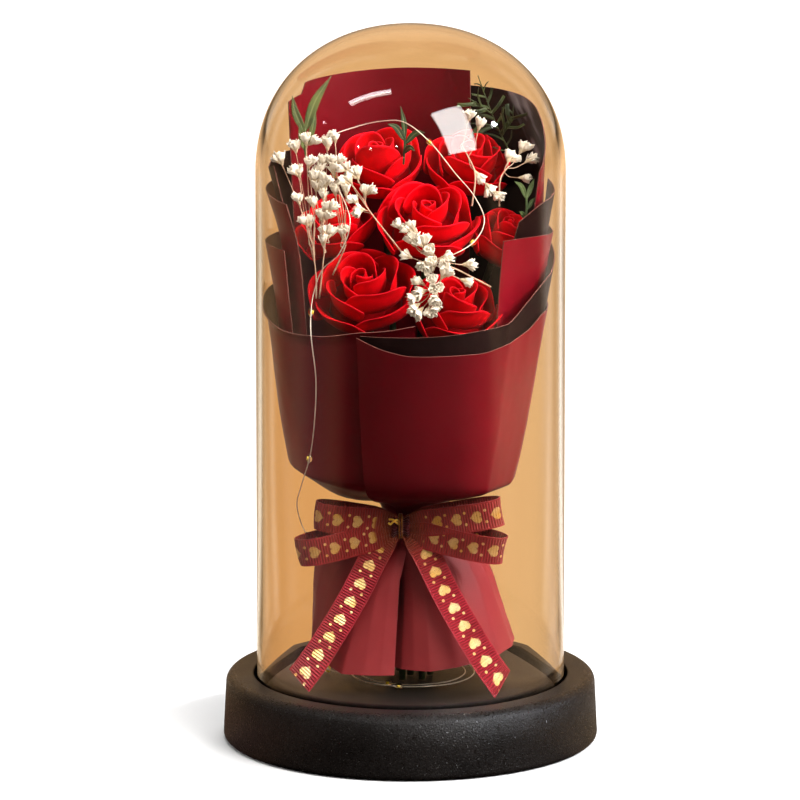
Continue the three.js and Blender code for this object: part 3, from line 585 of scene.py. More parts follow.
def makeWire(values, beads):
    route = wireRoute(values)
    length = float(np.linalg.norm(np.diff(route, axis=0), axis=1).sum())
    metal = grainedMaterial("bareWire", values["mottle"], (0.2, 0.05), Metallic=0.75, Roughness=0.34)
    pile = Pile()
    pile.add(*tubeShape(route, values["strand"] / 2, 8))
    wire = finishPiece(pile.make("fairyWire", [metal]), ["light_wire"])
    resin, tree, shader = newMaterial("beadResin", Base_Color=(0.98, 0.96, 0.9, 1), Roughness=0.06, IOR=1.5,
                                      Transmission_Weight=1.0)
    clearShadows(tree, shader)
    chip = grainedMaterial("beadChip", beads["chipMottle"], Roughness=0.35)
    pile = Pile()
    for step in beads["steps"]:
        addBead(pile, *alongRoute(route, (step + 0.5) / beads["wireSteps"]), beads)
    nodes = [f"light_{i + 1}" for i in range(len(beads["steps"]))]
    beadPiece = finishPiece(pile.make("lightBeads", [resin, chip]), nodes)
    return length


print("light wire:", round(makeWire(wireValues, beadValues)), "mm long")


# Base: a turned black block with a groove for the dome round a flat platform

baseValues = {
    "radius": 66.5, "height": 23.3, "shoulder": 65.6, "footRound": 2.0, "shoulderRound": 3.4, "sole": 60.5,
    "grooveOuter": 55.65, "grooveInner": 50.3, "grooveFloor": 17.0, "grooveRound": 0.6, "platformRound": 4.2,
    "platformRings": (30, 12), "sides": 160,
}
baseLook = {
    "mottle": (55.0, 2600.0, (0.0040, 0.0030, 0.0026), (0.0075, 0.0056, 0.0048)), "roughness": (0.40, 0.47),
    # fleck is the grey speck colour, in part a painted sparkle
    "fleck": (0.22, 0.20, 0.18), "fleckScale": 1700.0, "fleckShare": 0.24,
    "facetScale": 2300.0, "facetRoughness": 0.24, "facetTilt": 0.55,
    "wall": (61, 63), "curve": (11, 21), "curveTilt": 0.38,
    "innerSide": (46.8, 48.6), "outerSide": (56.4, 55.8), "grooveShade": (0.001, 0.001, 0.001),
    "specular": (0.48, 0.04),
}


def arcPoints(cx, cz, radius, start, end, steps):
    angles = np.radians(np.linspace(start, end, steps + 1))
    return [(cx + radius * math.cos(a), cz + radius * math.sin(a)) for a in angles]


def baseProfile(v):
    top, foot, shoulder = v["height"], v["footRound"], v["shoulderRound"]
    groove, platform = v["grooveRound"], v["platformRound"]
    profile = [(0, 0), (v["sole"], 0)]
    profile += arcPoints(v["radius"] - foot, foot, foot, -90, 0, 8)
    profile += arcPoints(v["shoulder"] - shoulder, top - shoulder, shoulder, 0, 90, 12)
    profile += arcPoints(v["grooveOuter"] + groove, top - groove, groove, 90, 180, 4)
    profile += [(v["grooveOuter"], v["grooveFloor"]), (v["grooveInner"], v["grooveFloor"])]
    profile += arcPoints(v["grooveInner"] - platform, top - platform, platform, 0, 90, 12)
    return profile + [(ring, top) for ring in v["platformRings"]] + [(0, top)]


def baseMaterial(look):
    material, tree, shader = newMaterial("basePlastic", IOR=1.46)
    point = objectPoint(tree)
    x, y, z = split(tree, point)
    reach = mathNode(tree, "SQRT", mathNode(tree, "ADD", times(tree, x, x), times(tree, y, y)))
    mottle = mottled(tree, *look["mottle"])
    fleck = cellNode(tree, point, look["fleckScale"]).outputs[0]
    # grey flecks in the colour: the plastic's own speck and, in part, a painted sparkle
    spark = times(tree, spread(tree, fleck, 0.20, 0.08), look["fleckShare"])
    colour = mixColour(tree, spark, mottle["Colour"], look["fleck"])
    # hardly any light gets down into the groove
    grooveShade = times(tree, spreadOver(tree, reach, look["innerSide"]), spreadOver(tree, reach, look["outerSide"]))
    tree.links.new(mixColour(tree, grooveShade, colour, look["grooveShade"]), shader.inputs["Base Color"])
    tree.links.new(spread(tree, grooveShade, 0, 1, *look["specular"]), shader.inputs["Specular IOR Level"])
    # on the wall some grains lie as small tilted facets, and its upper part curves in softly
    wall = spreadOver(tree, reach, look["wall"])
    cell = cellNode(tree, point, look["facetScale"]).outputs["Color"]
    facet = spread(tree, mathNode(tree, "MULTIPLY_ADD", wall, 0.2, split(tree, cell)[0]), 0.98, 1.02)
    rough = spread(tree, mottle["Patch"], 0, 1, *look["roughness"])
    tree.links.new(spread(tree, facet, 0, 1, rough, look["facetRoughness"]), shader.inputs["Roughness"])
    tilt = vectorNode(tree, "SUBTRACT", cell, (0.85, 0.5, 0.5))
    tilt = vectorNode(tree, "SCALE", tilt, scale=times(tree, facet, look["facetTilt"]))
    upward = times(tree, wall, spreadOver(tree, z, look["curve"], 0.0, look["curveTilt"]))
    normal = addNode(tree, "ShaderNodeNewGeometry").outputs["Normal"]
    leaning = vectorNode(tree, "ADD", normal, tilt)
    leaning = vectorNode(tree, "ADD", leaning, addNode(tree, "ShaderNodeCombineXYZ", {2: upward}).outputs[0])
    leaning = vectorNode(tree, "NORMALIZE", leaning)
    height = mathNode(tree, "MULTIPLY_ADD", fleck, 0.5, mottle["Grain"])
    bumpInto(tree, shader, height, 1.0, 0.17, leaning)
    return material


def makeBase(values, look):
    pile = Pile()
    pile.add(*turnedShape(baseProfile(values), values["sides"]))
    finishPiece(pile.make("displayBase", [baseMaterial(look)], sharp=40), ["base"])


makeBase(baseValues, baseLook)
print("base: turned")


# Dome: clear acrylic with a rounded crown and a polished lip, with painted shade on its foot down in the
# groove

domeValues = {"radius": 54.6, "wall": 2.0, "lip": 17.3, "spring": 203.3, "crown": 52.5, "squareness": 2.17,
              # the second tint is painted shade on the foot down in the groove
              "sides": 160, "tint": (1.0, 0.955, 0.88), "footShadeTint": (0.10, 0.07, 0.05), "sunkBelow": 1}


def crownProfile(radius, crown, v, steps=40):
    points = []
    for i in range(steps + 1):
        angle = i / steps * math.pi / 2
        r = 0 if i == steps else radius * math.cos(angle) ** (2 / v["squareness"])
        points.append((r, v["spring"] + crown * math.sin(angle) ** (2 / v["squareness"])))
    return points


def domeProfile(v):
    inner = v["radius"] - v["wall"]
    walls = list(np.linspace(v["lip"] + 1, v["spring"], 9)[:-1])
    profile = crownProfile(inner, v["crown"] - v["wall"], v)[::-1]
    profile += [(inner, z) for z in walls[::-1]]
    profile += arcPoints(inner + v["wall"] / 2, v["lip"] + 1, v["wall"] / 2, 180, 360, 8)[1:-1]
    return profile + [(v["radius"], z) for z in walls] + crownProfile(v["radius"], v["crown"], v)


def makeDome(v):
    material, tree, shader = newMaterial("clearAcrylic", Roughness=0.0, IOR=1.49, Transmission_Weight=1.0)
    rim = baseValues["height"]
    # painted shade: the acrylic's foot down in the groove is tinted nearly black
    grooveShade = spreadOver(tree, split(tree, objectPoint(tree))[2], (rim, rim - v["sunkBelow"]))
    tree.links.new(mixColour(tree, grooveShade, v["tint"], v["footShadeTint"]), shader.inputs["Base Color"])
    clearShadows(tree, shader)
    pile = Pile()
    pile.add(*turnedShape(domeProfile(v), v["sides"]))
    finishPiece(pile.make("acrylicDome", [material]), ["dome"])


makeDome(domeValues)
print("dome: turned")


# Paper: ten stiff sheets or turned-over panels, gathered at the tied neck

neckHeight, neckRadius = 82, 11
pitchTop, pitchNeck = 1.25, 0.9
# each station is a bearing, a radius and a height; a corner's fourth number is how far its bend reaches
cornerStations = [
    (-180, 41, 97, 6), (-120, 45, 98.5, 3), (-90, 45.8, 99, 3), (-60, 43.5, 97.5, 3), (-40, 41, 95.5, 6),
    (-24, 39, 94.5, 8), (15, 37.5, 94, 8), (46, 36.6, 93.5, 3), (75, 36, 93, 2), (110, 37, 93, 3),
    (150, 40, 95, 6), (180, 41, 97, 6), (240, 45, 98.5, 3), (270, 45.8, 99, 3),
]
undersides = [
    (-180, 21, 88.5), (-120, 22, 86), (-90, 22, 85.5), (-60, 22, 86.5), (-30, 21, 89), (0, 21, 89.8),
    (90, 21, 89.6), (180, 21, 88.5), (240, 22, 86), (270, 22, 85.5),
]
skirtMiddle = [
    (-112, 34.5, 63), (-98, 35.8, 64), (-70, 30, 62), (-42, 22.5, 60), (-10, 20, 60), (2, 16.5, 60),
    (14, 20, 60), (45, 23.5, 60), (77, 27, 62), (100, 28, 62), (147, 27, 62), (180, 27, 62), (222, 30, 62),
    (262, 35.5, 63.5),
]
skirtHem = [
    (-112, 36.4, 37), (-98, 36.8, 37.6), (-70, 37, 33.5), (-42, 37, 30.6), (-10, 29.5, 31.5), (2, 25, 32.4),
    (14, 28.9, 32.4), (45, 34, 33.5), (77, 36.9, 34.7), (100, 37, 36), (147, 35, 35), (180, 34, 34),
    (222, 35.5, 36), (262, 36.8, 37.4),
]
flatFacet = (46, 78)  # the wrap is flat between these bearings
paperSheets = {
    "frontRightWrap": {
        "node": "paper_front_right", "sides": "burgundy/black", "tail": True,
        "angles": (-24, -10, 2, 14, 30, 45, 62, 76, 90, 104), "hemShift": (9, 3, 1, 0, 0, 0, 0, 0, 0, 0),
        "middle": [(-24, 13.4, 60), (14, 20, 60), (45, 23.5, 60), (77, 27, 62), (104, 28, 62)],
        "hem": [(-24, 22.4, 30.8), (14, 29.2, 30.8), (45, 34, 33), (77, 36.9, 34.7), (104, 37, 36)],
        "rim": [(-24, 46, 153.2), (-10, 47, 149.3), (2, 47, 147.5), (30, 46.8, 147.2), (60, 47.6, 151),
                (77, 48.4, 156.5), (100, 48.4, 158)],
    },
    "frontCollar": {
        "node": "paper_front_collar", "sides": "black/black",
        "angles": (-23, -10, 2, 14, 30, 45, 62, 76, 90, 104),
        "rim": [(-23, 44.7, 153.7), (10, 45.5, 154), (45, 46.6, 156), (60, 47.8, 161), (75, 49.6, 168.5),
                (90, 50.9, 174.5), (107, 51.2, 178)],
    },
    "frontLeftWrap": {
        "node": "paper_front_left", "sides": "burgundy/black", "tail": True, "curl": 1.2,
        "angles": (-112, -98, -84, -70, -56, -42, -24, -10, 2), "hemShift": (0, 0, 0, 0, 0, 0, -6, -10, -13),
        "middle": [(-112, 34.5, 63), (-98, 35.8, 64), (-70, 30, 62), (-42, 24.4, 60), (2, 22.2, 60)],
        "hem": [(-112, 36.4, 37), (-98, 36.8, 37.6), (-70, 37, 33.5), (-42, 37.4, 30.4), (2, 31.6, 30.4)],
        "rim": [(-112, 50.6, 161), (-96, 51.2, 160), (-80, 51, 157.5), (-65, 50.3, 153), (-50, 48.5, 151.8),
                (-40, 46.4, 152.8), (-24, 43.2, 154.6), (-10, 42.8, 156), (6, 42.4, 158.4)],
    },
    "leftLowerPanel": {
        "node": "paper_left_lower", "sides": "burgundy/burgundy", "angles": (-118, -104, -90, -76, -62),
        "fold": [(-118, 48, 158), (-62, 47, 158)],
        "rim": [(-118, 50.4, 179), (-90, 51.2, 180), (-62, 49.2, 180.5)],
    },
    "rightPanel": {
        "node": "paper_right_panel", "sides": "burgundy/black", "order": 3, "angles": (50, 62, 76, 90, 104),
        "rim": [(50, 42.5, 184.5), (64, 44.5, 184), (77, 48, 183.5), (90, 50.2, 183), (104, 50.4, 183)],
    },
    "leftMiddlePanel": {
        "node": "paper_left_middle", "sides": "burgundy/burgundy", "order": 4,
        "angles": (-118, -104, -90, -76, -58), "fold": [(-122, 45.6, 178), (-58, 45, 178)],
        "rim": [(-122, 49.6, 199), (-90, 51, 199), (-58, 50, 197.5)],
    },
    "rightMiddlePanel": {
        "node": "paper_right_middle", "sides": "black/black", "order": 4, "angles": (62, 76, 90, 104),
        "fold": [(62, 41.8, 182), (75, 45.4, 182), (88, 48, 182), (112, 48.4, 182)],
        "rim": [(62, 44.2, 190), (75, 48.8, 196), (88, 50.8, 198), (112, 50.8, 200)],
    },
    "leftUpperPanel": {
        "node": "paper_left_upper", "sides": "black/black", "order": 5,
        "angles": (-140, -122, -104, -90, -74),
        "fold": [(-140, 43.6, 178), (-106, 43.6, 178), (-72, 42.8, 178)],
        "rim": [(-140, 47, 207), (-106, 49.8, 208), (-89, 49.8, 206), (-72, 49, 209)],
    },
    "backRightSheet": {
        "node": "paper_back_right", "sides": "burgundy/black", "slot": "black", "tail": True, "order": 5,
        "angles": (76, 90, 104, 120, 139, 158),
        "fold": [(76, 43.8, 184), (90, 46.3, 184), (104, 46.8, 184), (158, 43.4, 184)],
        "rim": [(76, 46.4, 206), (90, 47.2, 216), (104, 45.4, 226), (120, 44.2, 228.4), (139, 42.6, 229),
                (158, 41.6, 229)],
    },
    "backTallSheet": {
        "node": "paper_back_tall", "sides": "black/burgundy", "slot": "burgundy", "tail": True, "order": 6,
        "angles": (147, 163, 180, 198, 222, 238, 241.5, 243, 246, 262),
        "fold": [(147, 39.5, 184), (180, 40.5, 184), (222, 41, 184), (262, 41.4, 184)],
        "rim": [(147, 39.4, 235), (180, 37.6, 235.3), (212, 40.2, 234.4), (238, 43, 233),
                (241.5, 43.3, 232.6), (243, 43.4, 228.8), (246, 43.4, 228.6), (262, 43.6, 228)],
    },
}
paperLook = {"thickness": 0.34, "angleStep": 1.5, "rowStep": 2.2, "wrinkle": 0.28, "skirtWrinkle": 0.7}
paperFaces = {
    "burgundy": {"name": "burgundyPaper", "tones": ((0.130, 0.001, 0.005), (0.155, 0.0015, 0.007)),
                 "roughness": 0.36, "specular": 0.25,
                 # skirt is a painted sheen colour; deep is the painted shade colour at the front of the wrap,
                 # also used towards the top of the tall sheet
                 "skirt": (0.19, 0.017, 0.020), "deep": (0.072, 0.0004, 0.003)},
    "black": {"name": "blackPaper", "tones": ((0.005, 0.0015, 0.0015), (0.009, 0.003, 0.003)),
              # the crease colour is a painted highlight, grey light caught on creases
              "roughness": 0.42, "specular": 0.16, "crease": (0.30, 0.27, 0.28)},
    "edge": {"name": "cutPaperEdge", "tones": ((0.13, 0.045, 0.035), (0.18, 0.068, 0.055)),
             "roughness": 0.6, "specular": 0.25},
}
paperMarks = {
    # where colour and gloss pass over into others, in millimetres
    "flare": (neckHeight - 2, neckHeight - 8), "skirt": (neckHeight - 2, neckHeight - 18),
    "front": (-16, -34), "left": (33, 15), "above": (neckHeight, neckHeight + 8),
    "tall": (185, 210), "tallRight": (-40, 15),
    # the crease spans bound a band of painted highlight on the black sheet
    "creaseAcross": (147.5, 149.5), "creaseBack": (4, 10), "creaseHigh": (180, 200),
}


def between(stations, theta):
    table = np.array(stations, float)
    return [float(np.interp(theta, table[:, 0], table[:, k])) for k in range(1, table.shape[1])]


def sheetProfile(sheet, theta, order):
    # [radius, height] from rim to neck or hem, moved inwards layer by layer
    cornerRadius, cornerHeight, bend = between(cornerStations, theta)
    bend = max(bend, order * pitchTop + 1)
    corner = np.array([cornerRadius, cornerHeight])
    underside = np.array(between(undersides, theta))
    shared = [underside, (neckRadius + 2.2, neckHeight + 3.4), (neckRadius + 0.6, neckHeight)]
    if sheet.get("tail"):
        shared += [(neckRadius + 2.2, neckHeight - 3.6), between(sheet.get("middle", skirtMiddle), theta),
                   between(sheet.get("hem", skirtHem), theta)]
    upper = np.array(between(sheet.get("fold", sheet["rim"]), theta))
    above = corner + unit(upper - corner) * bend
    below = corner + unit(underside - corner) * bend
    gathered = [above, corner / 2 + (above + below) / 4, below] + [np.array(p, float) for p in shared]
    moved = []
    for i, point in enumerate(gathered):
        before = upper if i == 0 else gathered[i - 1]
        after = point if i == len(gathered) - 1 else gathered[i + 1]
        dr, dz = unit(np.array(after) - np.array(before))
        pitch = pitchTop if i < 3 else pitchNeck
        moved.append(point + np.array([dz, -dr]) * pitch * order)
    top = [np.array(between(sheet["rim"], theta)), upper] if "fold" in sheet else [upper]
    return np.array(top + moved)


def easeThrough(stations, values, wanted):
    # a curve through the values that never overshoots them
    stations, values, wanted = (np.asarray(a, float) for a in (stations, values, wanted))
    gaps = np.diff(stations)[:, None]
    slopes = np.diff(values, axis=0) / gaps
    tangents = np.vstack([slopes[:1], np.zeros_like(values[2:]), slopes[-1:]])
    for i in range(1, len(values) - 1):
        a, b = slopes[i - 1], slopes[i]
        same = a * b > 0
        tangents[i] = np.where(same, 2 * a * b / np.where(same, a + b, 1), 0)
    spot = np.clip(np.searchsorted(stations, wanted) - 1, 0, len(stations) - 2)
    h = gaps[spot]
    t = ((wanted - stations[spot]) / gaps[spot, 0])[:, None]
    return ((2 * t**3 - 3 * t**2 + 1) * values[spot] + (t**3 - 2 * t**2 + t) * h * tangents[spot]
            + (3 * t**2 - 2 * t**3) * values[spot + 1] + (t**3 - t**2) * h * tangents[spot + 1])


def sheetGrid(sheet, order, look):
    angles = sheet["angles"]
    control = np.array([sheetProfile(sheet, theta, order) for theta in angles])
    fine = np.linspace(angles[0], angles[-1], int((angles[-1] - angles[0]) / look["angleStep"]) + 1)
    count = control.shape[1]
    middle = control[len(angles) // 2]
    spans = np.linalg.norm(np.diff(middle, axis=0), axis=1)
    steps = [max(int(span / look["rowStep"]), 3) for span in spans]
    rows = [np.linspace(i, i + 1, steps[i], endpoint=False) for i in range(count - 1)]
    rows = np.concatenate(rows + [[count - 1]])
    flat = easeThrough(angles, control.reshape(len(angles), -1), fine).reshape(len(fine), count, 2)
    shift = np.array(sheet.get("hemShift", [0] * len(angles)), float)
    spine = np.array([sheetLine(profile, rows, sheet) for profile in control])
    below = np.clip((neckHeight - spine[0, :, 1]) / 18, 0, 1)
    start, end = flatFacet
    grid = np.zeros((len(rows), len(fine), 3))
    for j, profile in enumerate(flat):
        line = sheetLine(profile, rows, sheet)
        k = min(int(np.searchsorted(angles, fine[j], side="right")) - 1, len(angles) - 2)
        share = (fine[j] - angles[k]) / (angles[k + 1] - angles[k])
        moved = fine[j] + below * np.interp(fine[j], angles, shift)
        squeeze = 1.0
        if start < fine[j] < end:
            off = fine[j] - (start + end) / 2
            squeeze = math.cos(math.radians(end - start) / 2) / math.cos(math.radians(off))
        smooth = around(moved, line[:, 0] * (squeeze + (1 - squeeze) * below), line[:, 1])
        ends = [around(angles[i] + below * shift[i], spine[i, :, 0], spine[i, :, 1]) for i in (k, k + 1)]
        pleat = ends[0] * (1 - share) + ends[1] * share
        grid[:, j] = smooth * (1 - below[:, None]) + pleat * below[:, None]
    return grid


def sheetLine(profile, rows, sheet):
    travelled = np.concatenate([[0], np.cumsum(np.linalg.norm(np.diff(profile, axis=0), axis=1))])
    wanted = np.interp(rows, np.arange(len(profile)), travelled)
    line = easeThrough(travelled, profile, wanted)
    line[:, 0] += sheet.get("curl", 0) * np.clip(1 - wanted / 3.5, 0, 1) ** 2
    return line


def wrinkled(grid, seed, look):
    # light unevenness of stiff paper, stronger in the gathered skirt
    out = np.gradient(grid, axis=0)
    normals = unit(np.cross(out, np.gradient(grid, axis=1)))
    moved = grid.copy()
    for i in range(grid.shape[0]):
        for j in range(grid.shape[1]):
            x, y, z = grid[i, j]
            amount = look["wrinkle"]
            if z <= neckHeight:
                amount = look["skirtWrinkle"] * min((neckHeight - z) / 20, 1)
            wave = noise.noise((x * 0.055 + seed * 7.3, y * 0.055, z * 0.028))
            crease = 0.35 - abs(noise.noise((x * 0.11, y * 0.11 + seed * 3.1, z * 0.07)))
            moved[i, j] += normals[i, j] * amount * (wave + 0.6 * crease)
    return moved


def burgundyShades(tree, colour, look, marks):
    # painted sheen below the neck, where it is paler and pinker; painted shade deeper at the front of the
    # wrap; and deeper towards the top of the tall sheet
    x, y, z = split(tree, objectPoint(tree))
    # painted sheen: paler and pinker below the neck
    colour = mixColour(tree, spreadOver(tree, z, marks["skirt"]), colour, look["skirt"])
    # painted shade: deeper at the front of the wrap, above the neck
    front = times(tree, spreadOver(tree, y, marks["front"]), spreadOver(tree, x, marks["left"]))
    colour = mixColour(tree, times(tree, front, spreadOver(tree, z, marks["above"])), colour, look["deep"])
    tall = times(tree, spreadOver(tree, z, marks["tall"]), spreadOver(tree, x, marks["tallRight"], 0.2, 0.7))
    return mixColour(tree, tall, colour, look["deep"])


def creaseHighlightBand(tree, colour, look, marks):
    # painted highlight: a band of grey streaks, as light caught on the creases of the sheet behind the right
    # rose
    x, y, z = split(tree, objectPoint(tree))
    across = mathNode(tree, "MULTIPLY_ADD", z, 0.5, x)
    stretched = {0: times(tree, across, 190.0), 1: times(tree, z, 45.0)}
    highlightStreaks = noiseNode(tree, addNode(tree, "ShaderNodeCombineXYZ", stretched).outputs[0], 1.0, 3.0).outputs[0]
    band = times(tree, spreadOver(tree, across, marks["creaseAcross"]),
                 spreadOver(tree, y, marks["creaseBack"]))
    band = times(tree, band, spreadOver(tree, z, marks["creaseHigh"]))
    band = times(tree, band, spread(tree, highlightStreaks, 0.44, 0.60, 0.05, 1.0))
    return mixColour(tree, band, colour, look["crease"])


def paperMaterial(look, marks):
    material, tree, shader = newMaterial(look["name"], IOR=1.45)
    mottle = mottled(tree, 35.0, 1400.0, *look["tones"])
    colour = mottle["Colour"]
    if "skirt" in look:
        colour = burgundyShades(tree, colour, look, marks)
    if "crease" in look:
        colour = creaseHighlightBand(tree, colour, look, marks)
    # painted shade: faces that look down are darker, and they hardly shine
    facing = split(tree, addNode(tree, "ShaderNodeNewGeometry").outputs["Normal"])[2]
    under = spread(tree, facing, -0.15, -0.5)
    colour = mixColour(tree, times(tree, under, 0.5), colour, (0.02, 0.001, 0.002))
    tree.links.new(colour, shader.inputs["Base Color"])
    tree.links.new(spread(tree, under, 0, 1, look["specular"], 0.02), shader.inputs["Specular IOR Level"])
    rough = spread(tree, mottle["Patch"], 0, 1, look["roughness"] - 0.04, look["roughness"] + 0.05)
    flared = spreadOver(tree, split(tree, objectPoint(tree))[2], marks["flare"], 0.0, 0.16)
    tree.links.new(mathNode(tree, "ADD", rough, flared), shader.inputs["Roughness"])
    crumple = useGroup(tree, crumpleGroup, {"Vector": objectPoint(tree), "Size": 24.0}).outputs[0]
    bumpInto(tree, shader, mathNode(tree, "MULTIPLY_ADD", mottle["Grain"], 0.012, crumple), 0.25, 0.7)
    return material


def makePaper(sheets, look, faces, marks):
    painted = {side: paperMaterial(face, marks) for side, face in faces.items()}
    for index, (name, sheet) in enumerate(sheets.items()):
        grid = wrinkled(sheetGrid(sheet, sheet.get("order", index), look), index, look)
        outer, inner = sheet["sides"].split("/")
        pile = Pile()
        pile.add(*skinShape(grid, look["thickness"], outward=grid * (1, 1, 0)))
        piece = pile.make(name, [painted[outer], painted[inner], painted["edge"]], sharp=50)
        finishPiece(piece, [sheet["node"]])


makePaper(paperSheets, paperLook, paperFaces, paperMarks)
print("paper: ten sheets")


# Roses: rows of cupped petals round a tight spiral, each rose leaning its own way

# at is the middle of the bloom; front is one more petal, open wide, given like the rows below
roseTable = {
    "rose_back_left": {"at": (-11.5, 16, 205), "radius": 15.5, "height": 21, "lean": 30, "towards": -12,
                       "front": (1, 80, 0.50, 1.30, 0.10, 0.02, 0.03, 0.02, 0.42)},
    "rose_back_right": {"at": (20.5, 17, 205), "radius": 15, "height": 20, "lean": 27, "towards": 12},
    "rose_centre": {"at": (6, -7, 189), "radius": 17.3, "height": 22, "lean": 28, "towards": 4},
    "rose_left": {"at": (-27, 4, 185), "radius": 13.8, "height": 20, "lean": 28, "towards": -40},
    "rose_front_left": {"at": (-16.5, -19.5, 166), "radius": 18.2, "height": 22, "lean": 30, "towards": -14},
    "rose_front_right": {"at": (15.5, -20.5, 160), "radius": 15.6, "height": 21, "lean": 27, "towards": 16},
    "rose_right": {"at": (33.2, 2, 181), "radius": 11.8, "height": 19, "lean": 27, "towards": 50},
}
petalRows = [
    # petals, half spread in degrees, reach, top, foot, flare, roll, spiral, drop at the sides
    (2, 125, 0.14, 0.93, 0.45, 0.00, 0.00, 0.09, 0.12),
    (3, 80, 0.37, 1.00, 0.30, 0.03, 0.03, 0.15, 0.26),
    (4, 60, 0.66, 0.93, 0.14, 0.07, 0.06, 0.16, 0.36),
    (5, 49, 0.94, 0.69, 0.00, 0.12, 0.09, 0.10, 0.40),
]
roseHeart = [(0, 0), (0.3, 0.02), (0.72, 0.18), (0.66, 0.42), (0.3, 0.6), (0.12, 0.8), (0, 0.82)]
petalLook = {
    "thickness": 0.36, "across": 21, "up": 15, "middle": 0.58,
    "mottle": (160.0, 1900.0, (0.60, 0.0002, 0.003), (0.78, 0.0004, 0.006)),
    # foot and low are painted shade colours, rim a painted highlight colour
    "foot": (0.20, 0.0, 0.002), "rim": (1.0, 0.02, 0.045), "low": (0.10, 0.0, 0.001), "lowShadeFrom": (185, 150),
}


def roseAxis(rose):
    lean = math.radians(rose["lean"])
    return around(rose["towards"], math.sin(lean), math.cos(lean))


def petalGrid(rose, row, bearing, chance, look):
    _, halfSpread, reach, top, foot, flare, roll, spiral, drop = row
    across = np.linspace(-1, 1, look["across"])[None, :]
    up = np.linspace(0, 1, look["up"])[:, None]
    tilt, point = chance.uniform(-0.14, 0.14), chance.uniform(0.0, 0.10)
    reach, top = reach * chance.uniform(0.95, 1.05), top * chance.uniform(0.95, 1.03)
    crest = 1 - drop * np.abs(across) ** 2.3 - point * np.abs(across) + tilt * across * 0.6
    share = up * crest
    narrow = 0.45 + 0.55 * np.sin(np.clip(share * 1.5, 0, 1) * math.pi / 2)
    angle = bearing + math.radians(halfSpread) * across * narrow
    cup = np.sin(np.clip(share / 0.6, 0, 1) * math.pi / 2) ** 0.8
    rim = np.clip((share - 0.76) / 0.24, 0, 1.2)
    radius = 0.10 + (reach - 0.10) * cup if reach > 0.16 else reach * (1.25 - 0.25 * share)
    radius = radius * (1 + 0.10 * across**2)
    radius = radius - 0.08 * reach * np.clip(share - 0.45, 0, 1) * 2 + flare * np.clip(share - 0.55, 0, 1) * 2
    radius = radius + spiral * across * (0.35 + 0.65 * share) + roll * rim**2
    waves = chance.uniform(0, 6)
    radius = radius + 0.03 * np.sin(2.2 * across + waves) * share**3 * (0.3 + reach)
    height = foot + (top - foot) * share - 0.5 * roll * rim**2.4
    height = height + 0.02 * np.sin(2.7 * across + waves * 1.7) * share**4
    x, y = rose["radius"] * radius * np.cos(angle), rose["radius"] * radius * np.sin(angle)
    grid = np.stack([x, y, rose["height"] * height * np.ones_like(x)], axis=-1)
    return grid, [(a * 0.5 + 0.5, u) for u in up[:, 0] for a in across[0]]


def petalMaterial(look):
    material, tree, shader = newMaterial("rosePetal", Roughness=0.62, IOR=1.4, Specular_IOR_Level=0.04,
                                         Sheen_Weight=0.02, Sheen_Roughness=0.4)
    mottle = mottled(tree, *look["mottle"])
    along = sheetPlace(tree)[1]
    # painted shade: darker towards each petal's foot, deep in the bloom
    colour = mixColour(tree, spread(tree, along, 0.25, 0.75), look["foot"], mottle["Colour"])
    # painted highlight: a brighter line along each petal's rim
    colour = mixColour(tree, times(tree, spread(tree, along, 0.95, 1.0), 0.30), colour, look["rim"])
    # painted shade: the lower roses are darker
    low = spreadOver(tree, split(tree, objectPoint(tree))[2], look["lowShadeFrom"], 0.0, 0.42)
    tree.links.new(mixColour(tree, low, colour, look["low"]), shader.inputs["Base Color"])
    bumpInto(tree, shader, mottle["Grain"], 0.15, 0.08)
    return material


def roseFoot(rose, look):
    return np.array(rose["at"]) - roseAxis(rose) * rose["height"] * look["middle"]


def makeRoses(table, look):
    petal = petalMaterial(look)
    for index, (node, rose) in enumerate(table.items()):
        chance = random.Random(20 + index)
        turn, foot = turnTo(roseAxis(rose)), roseFoot(rose, look)
        pile = Pile()
        for row in petalRows + ([rose["front"]] if "front" in rose else []):
            start = chance.uniform(0, 6.28) if row[0] > 1 else -math.pi / 2 + 0.25
            for k in range(row[0]):
                bearing = start + k / row[0] * 2 * math.pi + chance.uniform(-0.12, 0.12)
                grid, uv = petalGrid(rose, row, bearing, chance, look)
                pile.addSkin(grid @ turn.T + foot, look["thickness"], uv=uv)
        points, faces = turnedShape([(r * rose["radius"], h * rose["height"]) for r, h in roseHeart], 20)
        pile.add(np.array(points) @ turn.T + foot, faces, 0, [(0.5, 0.2)] * len(points))
        finishPiece(pile.make(node.replace("rose_", "bloom_"), [petal]), [node])


makeRoses(roseTable, petalLook)
print("roses: petals in rows")


# Stems: from under each bloom, through the tied neck, down to the platform

stemValues = {"radius": 1.2, "ring": 2.9, "footRing": 7, "bearings": (215, 155, 0, 275, 335, 35, 95),
              "foot": 23.6, "gap": 0.3, "straight": 7, "above": 14, "spread": 1.6,
              "mottle": (90.0, 1500.0, (0.018, 0.036, 0.010), (0.03, 0.055, 0.015))}


def makeStems(values):
    material = grainedMaterial("stemGreen", values["mottle"], (0.3, 0.1), Roughness=0.55)
    for (node, rose), bearing in zip(roseTable.items(), values["bearings"]):
        axis, start = roseAxis(rose), roseFoot(rose, petalLook)
        ring = 1 if bearing else 0
        route = [start - axis * values["gap"], start - axis * values["straight"],
                 around(bearing, ring * values["ring"] * values["spread"], neckHeight + values["above"]),
                 around(bearing, ring * values["ring"], neckHeight),
                 around(bearing, ring * values["footRing"], values["foot"])]
        pile = Pile()
        pile.add(*tubeShape(smoothRoute(route, 10), values["radius"], 12))
        finishPiece(pile.make(node.replace("rose_", "stalk_"), [material]), [node.replace("rose", "stem")])


makeStems(stemValues)
print("stems: seven")


# Ribbon: one length of grosgrain with gold foil, folded into four loops and two tails

